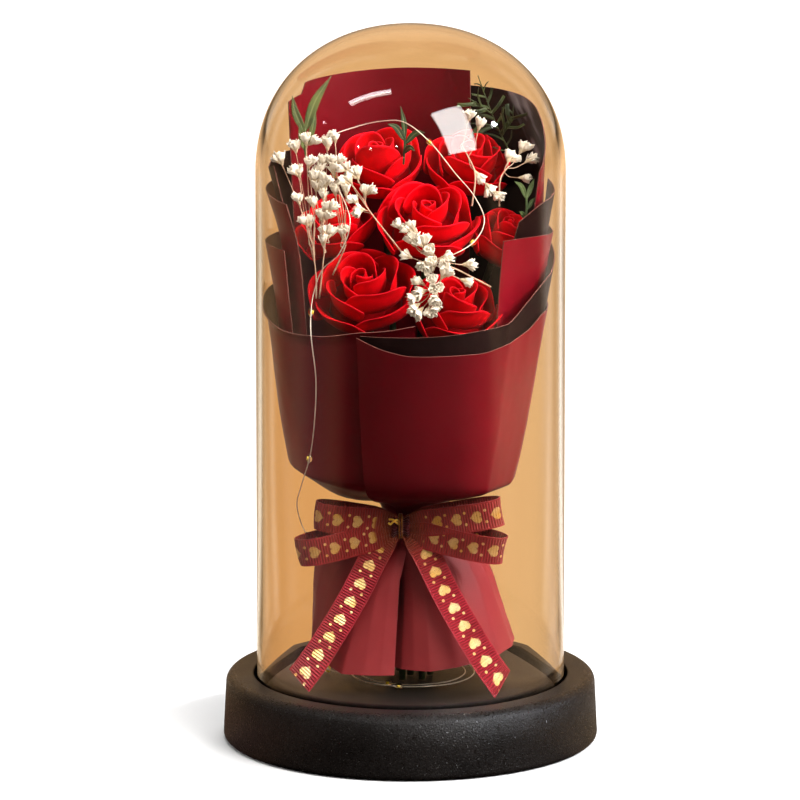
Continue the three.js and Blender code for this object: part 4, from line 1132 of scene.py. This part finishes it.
bowValues = {
    "width": 10.0, "thickness": 0.42, "columns": 11, "bow": 0.35, "cutLength": 7,
    "knot": (-3.5, -16.9, 80.2), "knotRadii": (2.75, 3.7), "gatherLength": 10, "pleat": 0.9,
    "loops": [
        {"tip": (-30, -4, 4.4), "across": (0.08, 0, 1), "rise": 0.8, "belly": 4.4},
        {"tip": (-36, -6, -7), "across": (-0.22, -0.1, 1), "rise": -1, "belly": 4.2},
        {"tip": (35, -6.5, 6.6), "across": (-0.16, 0, 1), "rise": 0.4, "belly": 4},
        {"tip": (36, -6, -6), "across": (0.2, -0.1, 1), "rise": -1, "belly": 4.2},
    ],
    "tails": [
        {"route": [(-6.2, -17.2, 79), (-11.4, -19.4, 72.5), (-20, -22.6, 56), (-31, -26.6, 38),
                   (-38.6, -28.4, 27.6)],
         "across": (0.87, -0.12, -0.47), "cut": 2},
        {"route": [(-0.9, -17.2, 79), (4.6, -20.2, 72.5), (12.8, -25.4, 57), (23.5, -32.6, 39.5),
                   (31.8, -36.8, 28)],
         "across": (0.84, 0.28, 0.46), "cut": -5},
    ],
}
foilValues = {
    "pitch": 7.2, "heart": 1.85, "dot": 0.5, "dotSide": 2.1, "ribs": 0.95, "edge": (0.35, 0.75),
    # valley is a painted shade colour for the valleys between the ribs
    "mottle": (120.0, 3000.0, (0.25, 0.004, 0.013), (0.34, 0.008, 0.022)), "valleyShade": (0.045, 0.0, 0.003),
    "gold": ((0.90, 0.56, 0.16), (1.0, 0.80, 0.42)), "goldInShade": (0.95, 0.42, 0.02),
    # how dark the ribbon gets under the wrap and close to the knot
    "shadeHeight": (60, 74), "shadeKnot": (18, 6), "shadeShares": (0.42, 0.85), "bare": (9.5, 10.5),
    "shade": (0.10, 0.018, 0.001), "plainShade": (0.02, 0.0, 0.001), "roughness": (0.58, 0.34),
}


def heartMask(tree, x, y):
    # the plane curve (x2 + y2 - 1)3 < x2 y3
    xx, yy = times(tree, x, x), times(tree, y, y)
    ring = mathNode(tree, "SUBTRACT", mathNode(tree, "ADD", xx, yy), 1.0)
    cube = times(tree, times(tree, ring, ring), ring)
    lobe = times(tree, times(tree, xx, yy), y)
    return spread(tree, mathNode(tree, "SUBTRACT", cube, lobe), 0.04, -0.04)


def foilMask(tree, across, along, foil):
    # a heart in the middle of each stretch, with a dot at both sides between two of them
    cell = mathNode(tree, "WRAP", along, foil["pitch"] / 2, -foil["pitch"] / 2)
    heart = heartMask(tree, mathNode(tree, "DIVIDE", across, foil["heart"]),
                      mathNode(tree, "DIVIDE", cell, foil["heart"] * 0.92))
    gap = mathNode(tree, "SUBTRACT", foil["pitch"] / 2, mathNode(tree, "ABSOLUTE", cell))
    side = mathNode(tree, "SUBTRACT", mathNode(tree, "ABSOLUTE", across), foil["dotSide"])
    far = mathNode(tree, "SQRT", mathNode(tree, "ADD", times(tree, gap, gap), times(tree, side, side)))
    return mathNode(tree, "MAXIMUM", heart, spread(tree, far, foil["dot"] + 0.06, foil["dot"] - 0.06))


def ribbonMaterial(name, values, foil, printed):
    material, tree, shader = newMaterial(name, IOR=1.45, Specular_IOR_Level=0.3, Sheen_Weight=0.05,
                                         Roughness=foil["roughness"][0])
    place = sheetPlace(tree)
    across = times(tree, mathNode(tree, "SUBTRACT", place[0], 0.5), values["width"])
    along = times(tree, place[1], 100.0)
    rib = mathNode(tree, "SINE", times(tree, along, 2 * math.pi / foil["ribs"]))
    margin = [values["width"] / 2 - inset for inset in foil["edge"]]
    ribHeight = times(tree, rib, spread(tree, mathNode(tree, "ABSOLUTE", across), *margin))
    mottle = mottled(tree, *foil["mottle"])
    # painted shade: the valleys between the ribs are darker
    cloth = mixColour(tree, spread(tree, ribHeight, -1, 0.4, 0.6, 0.0), mottle["Colour"], foil["valleyShade"])
    away = vectorNode(tree, "DISTANCE", objectPoint(tree), tuple(v * mm for v in values["knot"]))
    level = split(tree, objectPoint(tree))[2]
    high, close = foil["shadeShares"]
    shade = mathNode(tree, "MAXIMUM", spreadOver(tree, level, foil["shadeHeight"], 0.0, high),
                     spreadOver(tree, away, foil["shadeKnot"], 0.0, close))
    if not printed:
        tree.links.new(mixColour(tree, shade, cloth, foil["plainShade"]), shader.inputs["Base Color"])
        bumpInto(tree, shader, ribHeight, 1.0, 0.16)
        return material
    wear = times(tree, spread(tree, mottle["Grain"], 0.26, 0.40), spreadOver(tree, away, foil["bare"]))
    mask = times(tree, foilMask(tree, across, along, foil), wear)
    gold = mixColour(tree, shade, mixColour(tree, mottle["Patch"], *foil["gold"]), foil["goldInShade"])
    colour = mixColour(tree, mask, cloth, gold)
    tree.links.new(mixColour(tree, shade, colour, foil["shade"]), shader.inputs["Base Color"])
    tree.links.new(times(tree, mask, 0.55), shader.inputs["Metallic"])
    tree.links.new(spread(tree, mask, 0, 1, *foil["roughness"]), shader.inputs["Roughness"])
    bumpInto(tree, shader, times(tree, ribHeight, spread(tree, mask, 0, 1, 1.0, 0.45)), 1.0, 0.16)
    return material


def ribbonGrid(points, acrosses, values, start, cut=0.0):
    points, acrosses = np.asarray(points, float), np.asarray(acrosses, float)
    along = unit(np.gradient(points, axis=0))
    acrosses = unit(acrosses - along * (along * acrosses).sum(axis=1, keepdims=True))
    normals = np.cross(acrosses, along)
    away = np.linalg.norm(points - np.array(values["knot"]), axis=1)
    share = np.clip(away / values["gatherLength"], 0, 1)
    opened = 0.5 + 0.5 * share**2 * (3 - 2 * share)
    travelled = np.concatenate([[0], np.cumsum(np.linalg.norm(np.diff(points, axis=0), axis=1))])
    sides = np.linspace(-1, 1, values["columns"])
    slant = np.clip((travelled - travelled[-1]) / values["cutLength"] + 1, 0, 1) * cut / 2
    reach = sides[None, :] * opened[:, None] * values["width"] / 2
    grid = points[:, None] + acrosses[:, None] * reach[..., None]
    pleat = values["pleat"] * (1 - opened[:, None]) * 2 * np.cos(sides[None, :] * 2.5 * math.pi)
    bow = -values["bow"] * sides[None, :] ** 2 * share[:, None]
    grid = grid + normals[:, None] * (pleat + bow)[..., None]
    grid = grid + along[:, None] * (sides[None, :] * slant[:, None])[..., None]
    uv = [((s + 1) / 2, (start + t) / 100) for t in travelled for s in sides]
    return grid, uv, travelled[-1]


def loopPoints(loop, values, steps=44):
    out = np.array(loop["tip"], float)
    front = unit(np.cross(np.array(loop["across"], float), out))
    front = front if front[1] < 0 else -front
    t = np.linspace(0, 1, steps + 1)[:, None]
    reach = 0.05 + 0.95 * np.sin(math.pi * t) ** 0.85
    depth = loop["belly"] * (np.sin(2 * math.pi * t) + 0.16 * np.cos(math.pi * t))
    return np.array(values["knot"]) + out * reach + front * depth + (0, 0, loop["rise"])


def makeBow(values, foil):
    printed = ribbonMaterial("printedRibbon", values, foil, True)
    plain = ribbonMaterial("plainRibbon", values, foil, False)
    deep, high = values["knotRadii"]
    turns = np.linspace(0, 2 * math.pi, 33)
    ring = [np.array(values["knot"]) + (0.0, deep * math.sin(a), high * math.cos(a)) for a in turns]
    strips = [(loopPoints(loop, values), loop["across"], 0.0, 0) for loop in values["loops"]]
    strips += [(smoothRoute(tail["route"], 12), tail["across"], tail["cut"], 0) for tail in values["tails"]]
    strips.append((ring, (1, 0, 0), 0.0, 1))
    pile, used = Pile(), 0.0
    for line, across, cut, slot in strips:
        grid, uv, length = ribbonGrid(line, [across] * len(line), values, used, cut)
        pile.addSkin(grid, values["thickness"], slot, uv)
        used += length
    bow = finishPiece(pile.make("ribbonBow", [printed, plain], sharp=60), ["ribbon_bow"])
    return used


print("ribbon:", round(makeBow(bowValues, foilValues)), "mm long")


# Twist tie: a gold band round the bow's knot with its ends twisted out in front

tieValues = {
    "radii": (3.1, 4.324), "wire": 0.36, "turns": (-0.36, 0.36), "left": (-1.4, -0.8),
    "mottle": (700.0, 5000.0, (1.0, 0.66, 0.12), (0.92, 0.52, 0.06)), "shaded": (0.16, 0.03, 0.01),
    "ends": [[(-3.6, -19.7, 81.4), (-4.8, -20.7, 82.2), (-6.2, -21.1, 83.5), (-7.7, -21.1, 83.7)],
             [(-3.6, -19.7, 81.4), (-4.8, -20.8, 83.4), (-6.3, -21.2, 82.6), (-7.0, -21.2, 81.9),
              (-7.8, -21.1, 82.4)]],
}


def makeTie(values, knot):
    material, tree, shader = newMaterial("goldTie", Metallic=0.6, Roughness=0.32)
    mottle = mottled(tree, *values["mottle"])
    start, end = values["left"]
    band = spreadOver(tree, split(tree, objectPoint(tree))[0], (knot[0] + start, knot[0] + end), 0.0, 0.85)
    tree.links.new(mixColour(tree, band, mottle["Colour"], values["shaded"]), shader.inputs["Base Color"])
    bumpInto(tree, shader, mottle["Patch"], 0.5, 0.15)
    deep, high = values["radii"]
    angles = np.linspace(0, 2 * math.pi, 41)
    pile = Pile()
    for shift in values["turns"]:
        loop = [np.array(knot) + (shift, deep * math.sin(a), high * math.cos(a)) for a in angles]
        pile.add(*tubeShape(loop, values["wire"], 8))
    for route in values["ends"]:
        pile.add(*tubeShape(smoothRoute(route, 8), values["wire"], 8))
    finishPiece(pile.make("goldTwistTie", [material]), ["twist_tie"])


makeTie(tieValues, bowValues["knot"])
print("tie: round the knot")


# Repeats: one small shape on every marked point, turned along the point's own direction

def repeatTree(name):
    tree = bpy.data.node_groups.new(name, "GeometryNodeTree")
    for title, kind, given in [
        ("Geometry", "NodeSocketGeometry", "INPUT"), ("Shape", "NodeSocketObject", "INPUT"),
        ("Smallest", "NodeSocketFloat", "INPUT"), ("Largest", "NodeSocketFloat", "INPUT"),
        ("Seed", "NodeSocketInt", "INPUT"), ("Material", "NodeSocketMaterial", "INPUT"),
        ("Geometry", "NodeSocketGeometry", "OUTPUT"),
    ]:
        tree.interface.new_socket(title, in_out=given, socket_type=kind)
    given, result = tree.nodes.new("NodeGroupInput"), tree.nodes.new("NodeGroupOutput")
    shape = addNode(tree, "GeometryNodeObjectInfo", {"Object": given.outputs["Shape"]})
    heading = addNode(tree, "GeometryNodeInputNamedAttribute", {"Name": "heading"}, data_type="FLOAT_VECTOR")
    aimed = addNode(tree, "FunctionNodeAlignRotationToVector", {"Vector": heading.outputs[0]}, axis="Z")
    spin = addNode(tree, "FunctionNodeRandomValue", {2: 0.0, 3: 6.283, "Seed": given.outputs["Seed"]})
    about = addNode(tree, "FunctionNodeAxisAngleToRotation", {"Axis": (0, 0, 1), "Angle": spin.outputs[1]})
    turned = addNode(tree, "FunctionNodeRotateRotation", {0: aimed.outputs[0], 1: about.outputs[0]},
                     rotation_space="LOCAL")
    size = addNode(tree, "FunctionNodeRandomValue", {
        2: given.outputs["Smallest"], 3: given.outputs["Largest"], "Seed": given.outputs["Seed"]})
    own = addNode(tree, "GeometryNodeInputNamedAttribute", {"Name": "size"}, data_type="FLOAT")
    scale = mathNode(tree, "MULTIPLY", size.outputs[1], own.outputs[0])
    placed = addNode(tree, "GeometryNodeInstanceOnPoints", {
        "Points": given.outputs["Geometry"], "Instance": shape.outputs["Geometry"],
        "Rotation": turned.outputs[0], "Scale": scale})
    real = addNode(tree, "GeometryNodeRealizeInstances", {0: placed.outputs[0]})
    painted = addNode(tree, "GeometryNodeSetMaterial", {"Geometry": real.outputs[0],
                                                        "Material": given.outputs["Material"]})
    tree.links.new(painted.outputs[0], result.inputs[0])
    return tree


def repeatOn(name, points, headings, sizes, shape, tree, values, material):
    # new plain mesh: the shape on each point
    mesh = bpy.data.meshes.new(name)
    mesh.from_pydata([tuple(np.array(p) * mm) for p in points], [], [])
    heading = mesh.attributes.new("heading", "FLOAT_VECTOR", "POINT")
    heading.data.foreach_set("vector", np.array(headings, float).ravel())
    mesh.attributes.new("size", "FLOAT", "POINT").data.foreach_set("value", np.array(sizes, float))
    carrier = bpy.data.objects.new(name, mesh)
    bpy.context.scene.collection.objects.link(carrier)
    modifier = carrier.modifiers.new("repeat", "NODES")
    modifier.node_group = tree
    sockets = {item.name: item.identifier for item in tree.interface.items_tree if item.in_out == "INPUT"}
    for key, value in {**values, "Shape": shape, "Material": material}.items():
        modifier[sockets[key]] = value
    worked = carrier.evaluated_get(bpy.context.evaluated_depsgraph_get())
    result = bpy.data.meshes.new_from_object(worked)
    carrier.modifiers.remove(modifier)
    bpy.data.objects.remove(carrier)
    return result


def shapeObject(name, pile):
    obj = pile.make(name, [])
    obj.hide_render = True
    return obj


def addMesh(pile, mesh, slot):
    # a plain mesh joins a pile, back in millimetres
    points = np.zeros(len(mesh.vertices) * 3)
    mesh.vertices.foreach_get("co", points)
    faces = [tuple(polygon.vertices) for polygon in mesh.polygons]
    uvs = np.zeros((len(mesh.vertices), 2))
    if mesh.uv_layers:
        layer = mesh.uv_layers[0].data
        for loop in mesh.loops:
            uvs[loop.vertex_index] = layer[loop.index].uv
    pile.add(points.reshape(-1, 3) / mm, faces, slot, uvs)


# Dried sprays: cream florets like small ruffled bells on thin pink-brown stalks

# each floret has its place and the number of the stem that bears it
sprayTable = {
    "whiteSprayLeft": {
        "node": "filler_spray_left",
        "stems": [[(-32.7, -26, 164), (-32.7, -26.4, 171.6), (-33.7, -28, 182.9)],
                  [(-31.6, -26, 164), (-30.2, -27, 177.6), (-29.5, -28.6, 184.6)],
                  [(-27, -24, 172), (-23.5, -27, 180.5), (-22.4, -27.6, 183.3)],
                  [(-3.4, -27, 181), (-11.8, -26.4, 191.8), (-16.4, -25, 198.0)]],
        "florets": [
            (-36.2, -20, 219.2, 0), (-39.8, -19.7, 216.6, 0), (-26.3, -19.3, 220.1, 2),
            (-28.8, -19.2, 217.5, 1), (-44.7, -20.5, 212.4, 0), (-35.2, -22.6, 211.8, 0),
            (-38.7, -23.5, 208.7, 0), (-30.2, -20, 211.6, 1), (-26.7, -21.7, 212.6, 2),
            (-22.4, -22.4, 210.3, 3), (-32.3, -20.2, 208.7, 1), (-26.7, -21.9, 209.1, 2),
            (-18.6, -21.1, 207.5, 3), (-33.4, -22.6, 206.3, 1), (-21.4, -22.2, 205.9, 3),
            (-29.5, -24.1, 204.9, 1), (-32.7, -22.8, 203.5, 0), (-26.3, -22.4, 202, 2),
            (-16.1, -23.5, 202.2, 3), (-22.4, -22.8, 202, 2), (-30.2, -23.4, 200.7, 1),
            (-38.7, -25.8, 199.4, 0), (-33.7, -23.8, 197.9, 0), (-19.6, -24.1, 199.1, 3),
            (-18.2, -25.9, 195.9, 3), (-29.2, -26.5, 197.1, 1), (-34.8, -25.2, 191.4, 0),
            (-30.9, -25.9, 193.7, 1), (-27.7, -26.7, 187.7, 1), (-23.9, -26.1, 187.9, 2),
            (-30.2, -27.3, 185.3, 1),
        ],
    },
    "whiteSprayMiddle": {
        "node": "filler_spray_middle",
        "stems": [[(27.7, -29, 168.7), (16.8, -32.5, 175.2), (9.7, -34, 178.7), (3.4, -35, 182.6)],
                  [(14.2, -34, 176.4), (10.4, -36.4, 172.8), (8, -37.6, 170)]],
        "florets": [
            (-4.4, -31.7, 191.3, 0), (0.2, -33.4, 191.3, 0), (0.2, -33.6, 185.9, 0), (4.8, -34.9, 185.9, 0),
            (-1.6, -34.6, 181.1, 0), (6.2, -34.6, 181.8, 0), (12.5, -37.5, 181, 0), (4.1, -38.2, 178.3, 0),
            (7.6, -37.8, 178.5, 1), (11.5, -36.3, 175, 1), (7.6, -38.7, 172.9, 1), (2.7, -38.2, 172.5, 1),
            (9.4, -39.8, 170.7, 1), (3.4, -39.5, 169.5, 1), (0.9, -40.6, 167.2, 1), (8, -40.7, 167.2, 1),
            (1.2, -40.8, 164, 1), (2.7, -41.3, 162.3, 1), (6.2, -40.2, 162.4, 1), (9, -40.5, 163.9, 1),
            (20, -31.6, 177.2, 0), (19.3, -33.9, 171.6, 0),
        ],
    },
    "whiteSprayRight": {
        "node": "filler_spray_right",
        "stems": [[(21.4, -11, 194), (22.6, -9.6, 204), (20.6, -8, 210), (17.8, -8, 214.7)]],
        "florets": [(20, -7.1, 224.8, 0), (24.2, -4.8, 222, 0), (23.9, -8.5, 203.9, 0),
                    (27.7, -8.7, 199.9, 0), (30.2, -8.8, 197.3, 0)],
    },
    "whiteSprayFarRight": {
        "node": "filler_spray_far_right",
        "stems": [[(31, -7, 193), (31.4, -6, 202.4), (34.4, -2, 206.4)]],
        "florets": [(39.4, 2.7, 212, 0), (34.5, 1.1, 209.2, 0), (42, 2.6, 208, 0), (40.2, -4, 202.6, 0)],
    },
}
floretCup = [(0, 0), (0.30, 0.05), (0.60, 0.8), (0.85, 1.6), (0.6, 2.2), (0, 2.4)]
floretLook = {"length": 4.4, "shapes": (3, 8, 21), "smallest": 0.92, "largest": 1.28, "twins": 0.9, "seed": 4,
              "stalk": 0.14, "stem": 0.23}


def floretPile(seed):
    # a narrow green-white cup that opens into crumpled petals, pointing up from its stalk
    pile = Pile()
    points, faces = turnedShape(floretCup, 7)
    pile.add(points, faces, 0, [(0.5, 0.0)] * len(points))
    chance = random.Random(seed)
    noise.seed_set(seed)
    sides, ups = np.linspace(-1, 1, 5)[None, :], np.array([0, 0.3, 0.6, 0.85, 1])[:, None]
    for k in range(8):
        if k < 5:
            bearing = k / 5 * 2 * math.pi + chance.uniform(-0.35, 0.35)
            reach, top = chance.uniform(1.3, 1.9), chance.uniform(3.1, 4.3)
        else:
            bearing = k / 3 * 2 * math.pi + chance.uniform(-0.35, 0.35)
            reach, top = chance.uniform(0.5, 0.9), 4.2
        angle = bearing + sides * (0.35 + 0.45 * np.sin(ups * 2.2))
        radius = 0.55 + (reach - 0.55) * ups**0.7 + chance.uniform(0.1, 0.28) * np.cos(sides * 4.4 + k) * ups
        height = 1.1 + (top - 1.1) * ups * (1 - 0.2 * np.abs(sides)) + 0.2 * np.sin(sides * 5 + k * 2) * ups
        grid = np.stack([radius * np.cos(angle), radius * np.sin(angle), height], axis=-1)
        for row in grid:
            for point in row:
                place = Vector(point * 1.1) + Vector((seed * 9.0, k, 0))
                point += 0.32 * np.array(noise.noise_vector(place))
        pile.addSkin(grid, 0.16)
    return pile


def floretMaterials():
    floret, tree, shader = newMaterial("driedFloret", Roughness=0.8, Sheen_Weight=0.1)
    mottle = mottled(tree, 420.0, 2600.0, (0.84, 0.78, 0.68), (0.74, 0.65, 0.52))
    foot = spread(tree, sheetPlace(tree)[1], 0.0, 0.4)
    tree.links.new(mixColour(tree, foot, (0.52, 0.40, 0.26), mottle["Colour"]), shader.inputs["Base Color"])
    bumpInto(tree, shader, mottle["Grain"], 0.4, 0.15)
    stalkLook = (260.0, 2600.0, (0.62, 0.42, 0.30), (0.44, 0.24, 0.15))
    stalk = grainedMaterial("driedStalk", stalkLook, (0.3, 0.08), Roughness=0.65)
    return floret, stalk


def addStalks(pile, spray, stems, chance, look):
    # where florets go and which way they point; most have a smaller one beside them
    points, headings = [], []
    for x, y, z, own in spray["florets"]:
        stem = stems[own]
        tip = np.array([x, y, z])
        start = stem[-1 - int(chance.uniform(0, 0.45) * (len(stem) - 1))]
        heading = unit(tip - start + np.array([0, 0, 0.25 * np.linalg.norm(tip - start)]))
        neck = tip - heading * look["length"] * 0.55
        bend = (start + neck) / 2 + np.array([chance.uniform(-1.2, 1.2), chance.uniform(-0.8, 0.8), -0.8])
        path = smoothRoute([start, bend, neck, neck + heading * 0.8], 5)
        pile.add(*tubeShape(path, look["stalk"], 6), slots=1)
        points.append(neck)
        headings.append(heading)
        if chance.random() < look["twins"]:
            turned = unit(heading + np.array([chance.uniform(-0.9, 0.9), -0.2, chance.uniform(-0.5, 0.1)]))
            path = [neck - heading * 1.2, neck + turned * 0.5, neck + turned * 1.2]
            pile.add(*tubeShape(path, look["stalk"], 6), slots=1)
            points.append(neck + turned * 0.8)
            headings.append(turned)
    return points, headings


def makeSprays(table, look):
    floret, stalk = floretMaterials()
    tree = repeatTree("floretsOnTips")
    shapes = [shapeObject("floretShape", floretPile(seed)) for seed in look["shapes"]]
    for number, (name, spray) in enumerate(table.items()):
        pile = Pile()
        stems = [smoothRoute(stem, 6) for stem in spray["stems"]]
        for stem in stems:
            radii = np.linspace(look["stem"] * 1.3, look["stem"] * 0.8, len(stem))
            pile.add(*tubeShape(stem, radii, 8), slots=1)
        points, headings = addStalks(pile, spray, stems, random.Random(70 + number), look)
        values = {"Smallest": look["smallest"], "Largest": look["largest"], "Seed": look["seed"] + number}
        for k, shape in enumerate(shapes):
            some, ahead = points[k::len(shapes)], headings[k::len(shapes)]
            addMesh(pile, repeatOn(name, some, ahead, [1.0] * len(some), shape, tree, values, floret), 0)
        finishPiece(pile.make(name, [floret, stalk]), [spray["node"]])
    for shape in shapes:
        bpy.data.objects.remove(shape)


makeSprays(sprayTable, floretLook)
print("sprays: florets on stalks")


# Greenery: dried lance leaves, small dark leaves and a feathery fern

# each leaf has a base, a middle, a tip and a width
leafTable = {
    "lanceSprigLeft": {
        "node": "leaf_sprig_left", "colours": ((0.115, 0.135, 0.032), (0.055, 0.080, 0.022)),
        "stem": [(-35, 2, 199), (-37, 4, 210), (-37.3, 5, 219)],
        "leaves": [((-37.3, 5, 217), (-33.6, 6, 228), (-27.9, 7.6, 236.8), 3.5),
                   ((-37.3, 5, 217), (-40.4, 4.4, 224), (-41.6, 4.4, 230.4), 2.9),
                   ((-37, 4.4, 212), (-34.4, 5, 219), (-33.4, 6, 226), 2.2),
                   ((-37, 4.4, 210), (-38.6, 4, 216), (-39, 4, 221), 1.9)],
    },
    "leafSprigTop": {
        "node": "leaf_sprig_top", "colours": ((0.030, 0.060, 0.018), (0.016, 0.034, 0.012)),
        "stem": [(-2.5, -2, 207), (-2.2, -1.6, 212), (-2, -1, 217)],
        "leaves": [((-2, -1, 216), (-2.4, -1, 222), (-3.5, -1, 227.6), 2.0),
                   ((-2, -1, 215), (-5, -1.6, 220), (-8, -3, 221.6), 2.2),
                   ((-2, -1, 214), (1.6, -1.8, 218), (5, -3, 218.6), 2.3),
                   ((-2.2, -1.6, 211), (-0.4, -4, 213.4), (1.5, -6, 212.6), 2.2)],
    },
    "leafSprigRight": {
        "node": "leaf_sprig_right", "colours": ((0.10, 0.15, 0.045), (0.04, 0.075, 0.025)),
        "stem": [(40, -10, 186), (40.4, -9.4, 192), (40.4, -9, 197)],
        "leaves": [((40.4, -9, 196), (38.6, -9.6, 200.6), (36.2, -10.6, 202.6), 1.8),
                   ((40.4, -9, 196), (42, -7.6, 200), (43.2, -6.2, 202.6), 1.8),
                   ((40.4, -9.4, 192), (42.2, -9, 195), (43.4, -9, 196.6), 1.5),
                   ((40.2, -9.8, 189), (38.8, -12.6, 191.6), (37.7, -14.6, 192.6), 1.6)],
    },
}
fernValues = {
    "node": "fern_sprig_right", "colours": ((0.055, 0.075, 0.012), (0.012, 0.022, 0.006)),
    "fronds": [[(36, 20, 206), (31, 22, 216), (27, 23.4, 226), (24, 23.6, 234.6)],
               [(32.4, 21.4, 213), (36, 19, 219), (36.4, 18, 222), (36.6, 17.6, 224.6)],
               [(28.6, 22.8, 221), (24, 22.6, 224.4), (20.4, 22.4, 226.6)],
               [(31, 22, 216), (25.6, 20.8, 217.4), (21, 20, 217.8)]],
    "leaf": ((0, 0, 0), (0.1, 0.05, 0.55), (0, 0.2, 1.0), 0.034), "needle": 7.6, "spacing": 2.1, "seed": 9,
}


def leafMaterial(name, first, second):
    material, tree, shader = newMaterial(name, Roughness=0.55)
    mottle = mottled(tree, 130.0, 1700.0, first, second)
    place = sheetPlace(tree)
    middle = mathNode(tree, "ABSOLUTE", mathNode(tree, "SUBTRACT", place[0], 0.5))
    rib = times(tree, spread(tree, middle, 0.10, 0.03), 0.45)
    tree.links.new(mixColour(tree, rib, mottle["Colour"], (0.28, 0.30, 0.12)), shader.inputs["Base Color"])
    veins = mathNode(tree, "SINE", times(tree, mathNode(tree, "ADD", place[1], middle), 70.0))
    bumpInto(tree, shader, mathNode(tree, "MULTIPLY_ADD", veins, 0.3, mottle["Grain"]), 0.3, 0.12)
    return material


def addLeaf(pile, leaf):
    # a narrow leaf folded along its middle rib, from its base, middle, tip and width
    *spots, width = leaf
    line = smoothRoute(spots, 7)
    share = np.linspace(0, 1, len(line))
    along = unit(np.gradient(line, axis=0))
    across = unit(np.cross(along, (0.15, -1, 0.1)))
    normals = np.cross(across, along)
    half = width / 2 * np.clip(np.sin(math.pi * share**0.75), 0.05, 1)
    sides = np.linspace(-1, 1, 7)
    grid = line[:, None] + across[:, None] * (sides[None, :] * half[:, None])[..., None]
    grid = grid + normals[:, None] * (0.22 * np.abs(sides)[None, :] * half[:, None])[..., None]
    pile.addSkin(grid, 0.2)


def makeLeaves(table):
    for name, sprig in table.items():
        pile = Pile()
        pile.add(*tubeShape(smoothRoute(sprig["stem"], 6), 0.4, 8))
        for leaf in sprig["leaves"]:
            addLeaf(pile, leaf)
        material = leafMaterial(name + "Green", *sprig["colours"])
        finishPiece(pile.make(name, [material]), [sprig["node"]])


def makeFern(values):
    material = leafMaterial("fernGreen", *values["colours"])
    needle = Pile()
    addLeaf(needle, values["leaf"])
    shape = shapeObject("needleShape", needle)
    pile, points, headings, sizes = Pile(), [], [], []
    for frond in values["fronds"]:
        line = smoothRoute(frond, 8)
        pile.add(*tubeShape(line, np.linspace(0.32, 0.16, len(line)), 7))
        length = float(np.linalg.norm(np.diff(line, axis=0), axis=1).sum())
        for k in range(1, int(length / values["spacing"])):
            share = k * values["spacing"] / length
            spot, along = alongRoute(line, share)
            side = unit(np.cross(along, (0, 1, 0))) * (1 if k % 2 else -1)
            points.append(spot)
            headings.append(unit(along * 0.9 + side + np.array([0, -0.2, 0])))
            sizes.append(values["needle"] * (0.35 + 0.65 * math.sin(math.pi * min(share + 0.12, 1)) ** 0.7))
    limits = {"Smallest": 0.85, "Largest": 1.1, "Seed": values["seed"]}
    tree = repeatTree("needlesOnFronds")
    addMesh(pile, repeatOn("fern", points, headings, sizes, shape, tree, limits, material), 0)
    bpy.data.objects.remove(shape)
    finishPiece(pile.make("fernSprig", [material]), [values["node"]])


makeLeaves(leafTable)
makeFern(fernValues)
print("greenery: three sprigs and a fern")
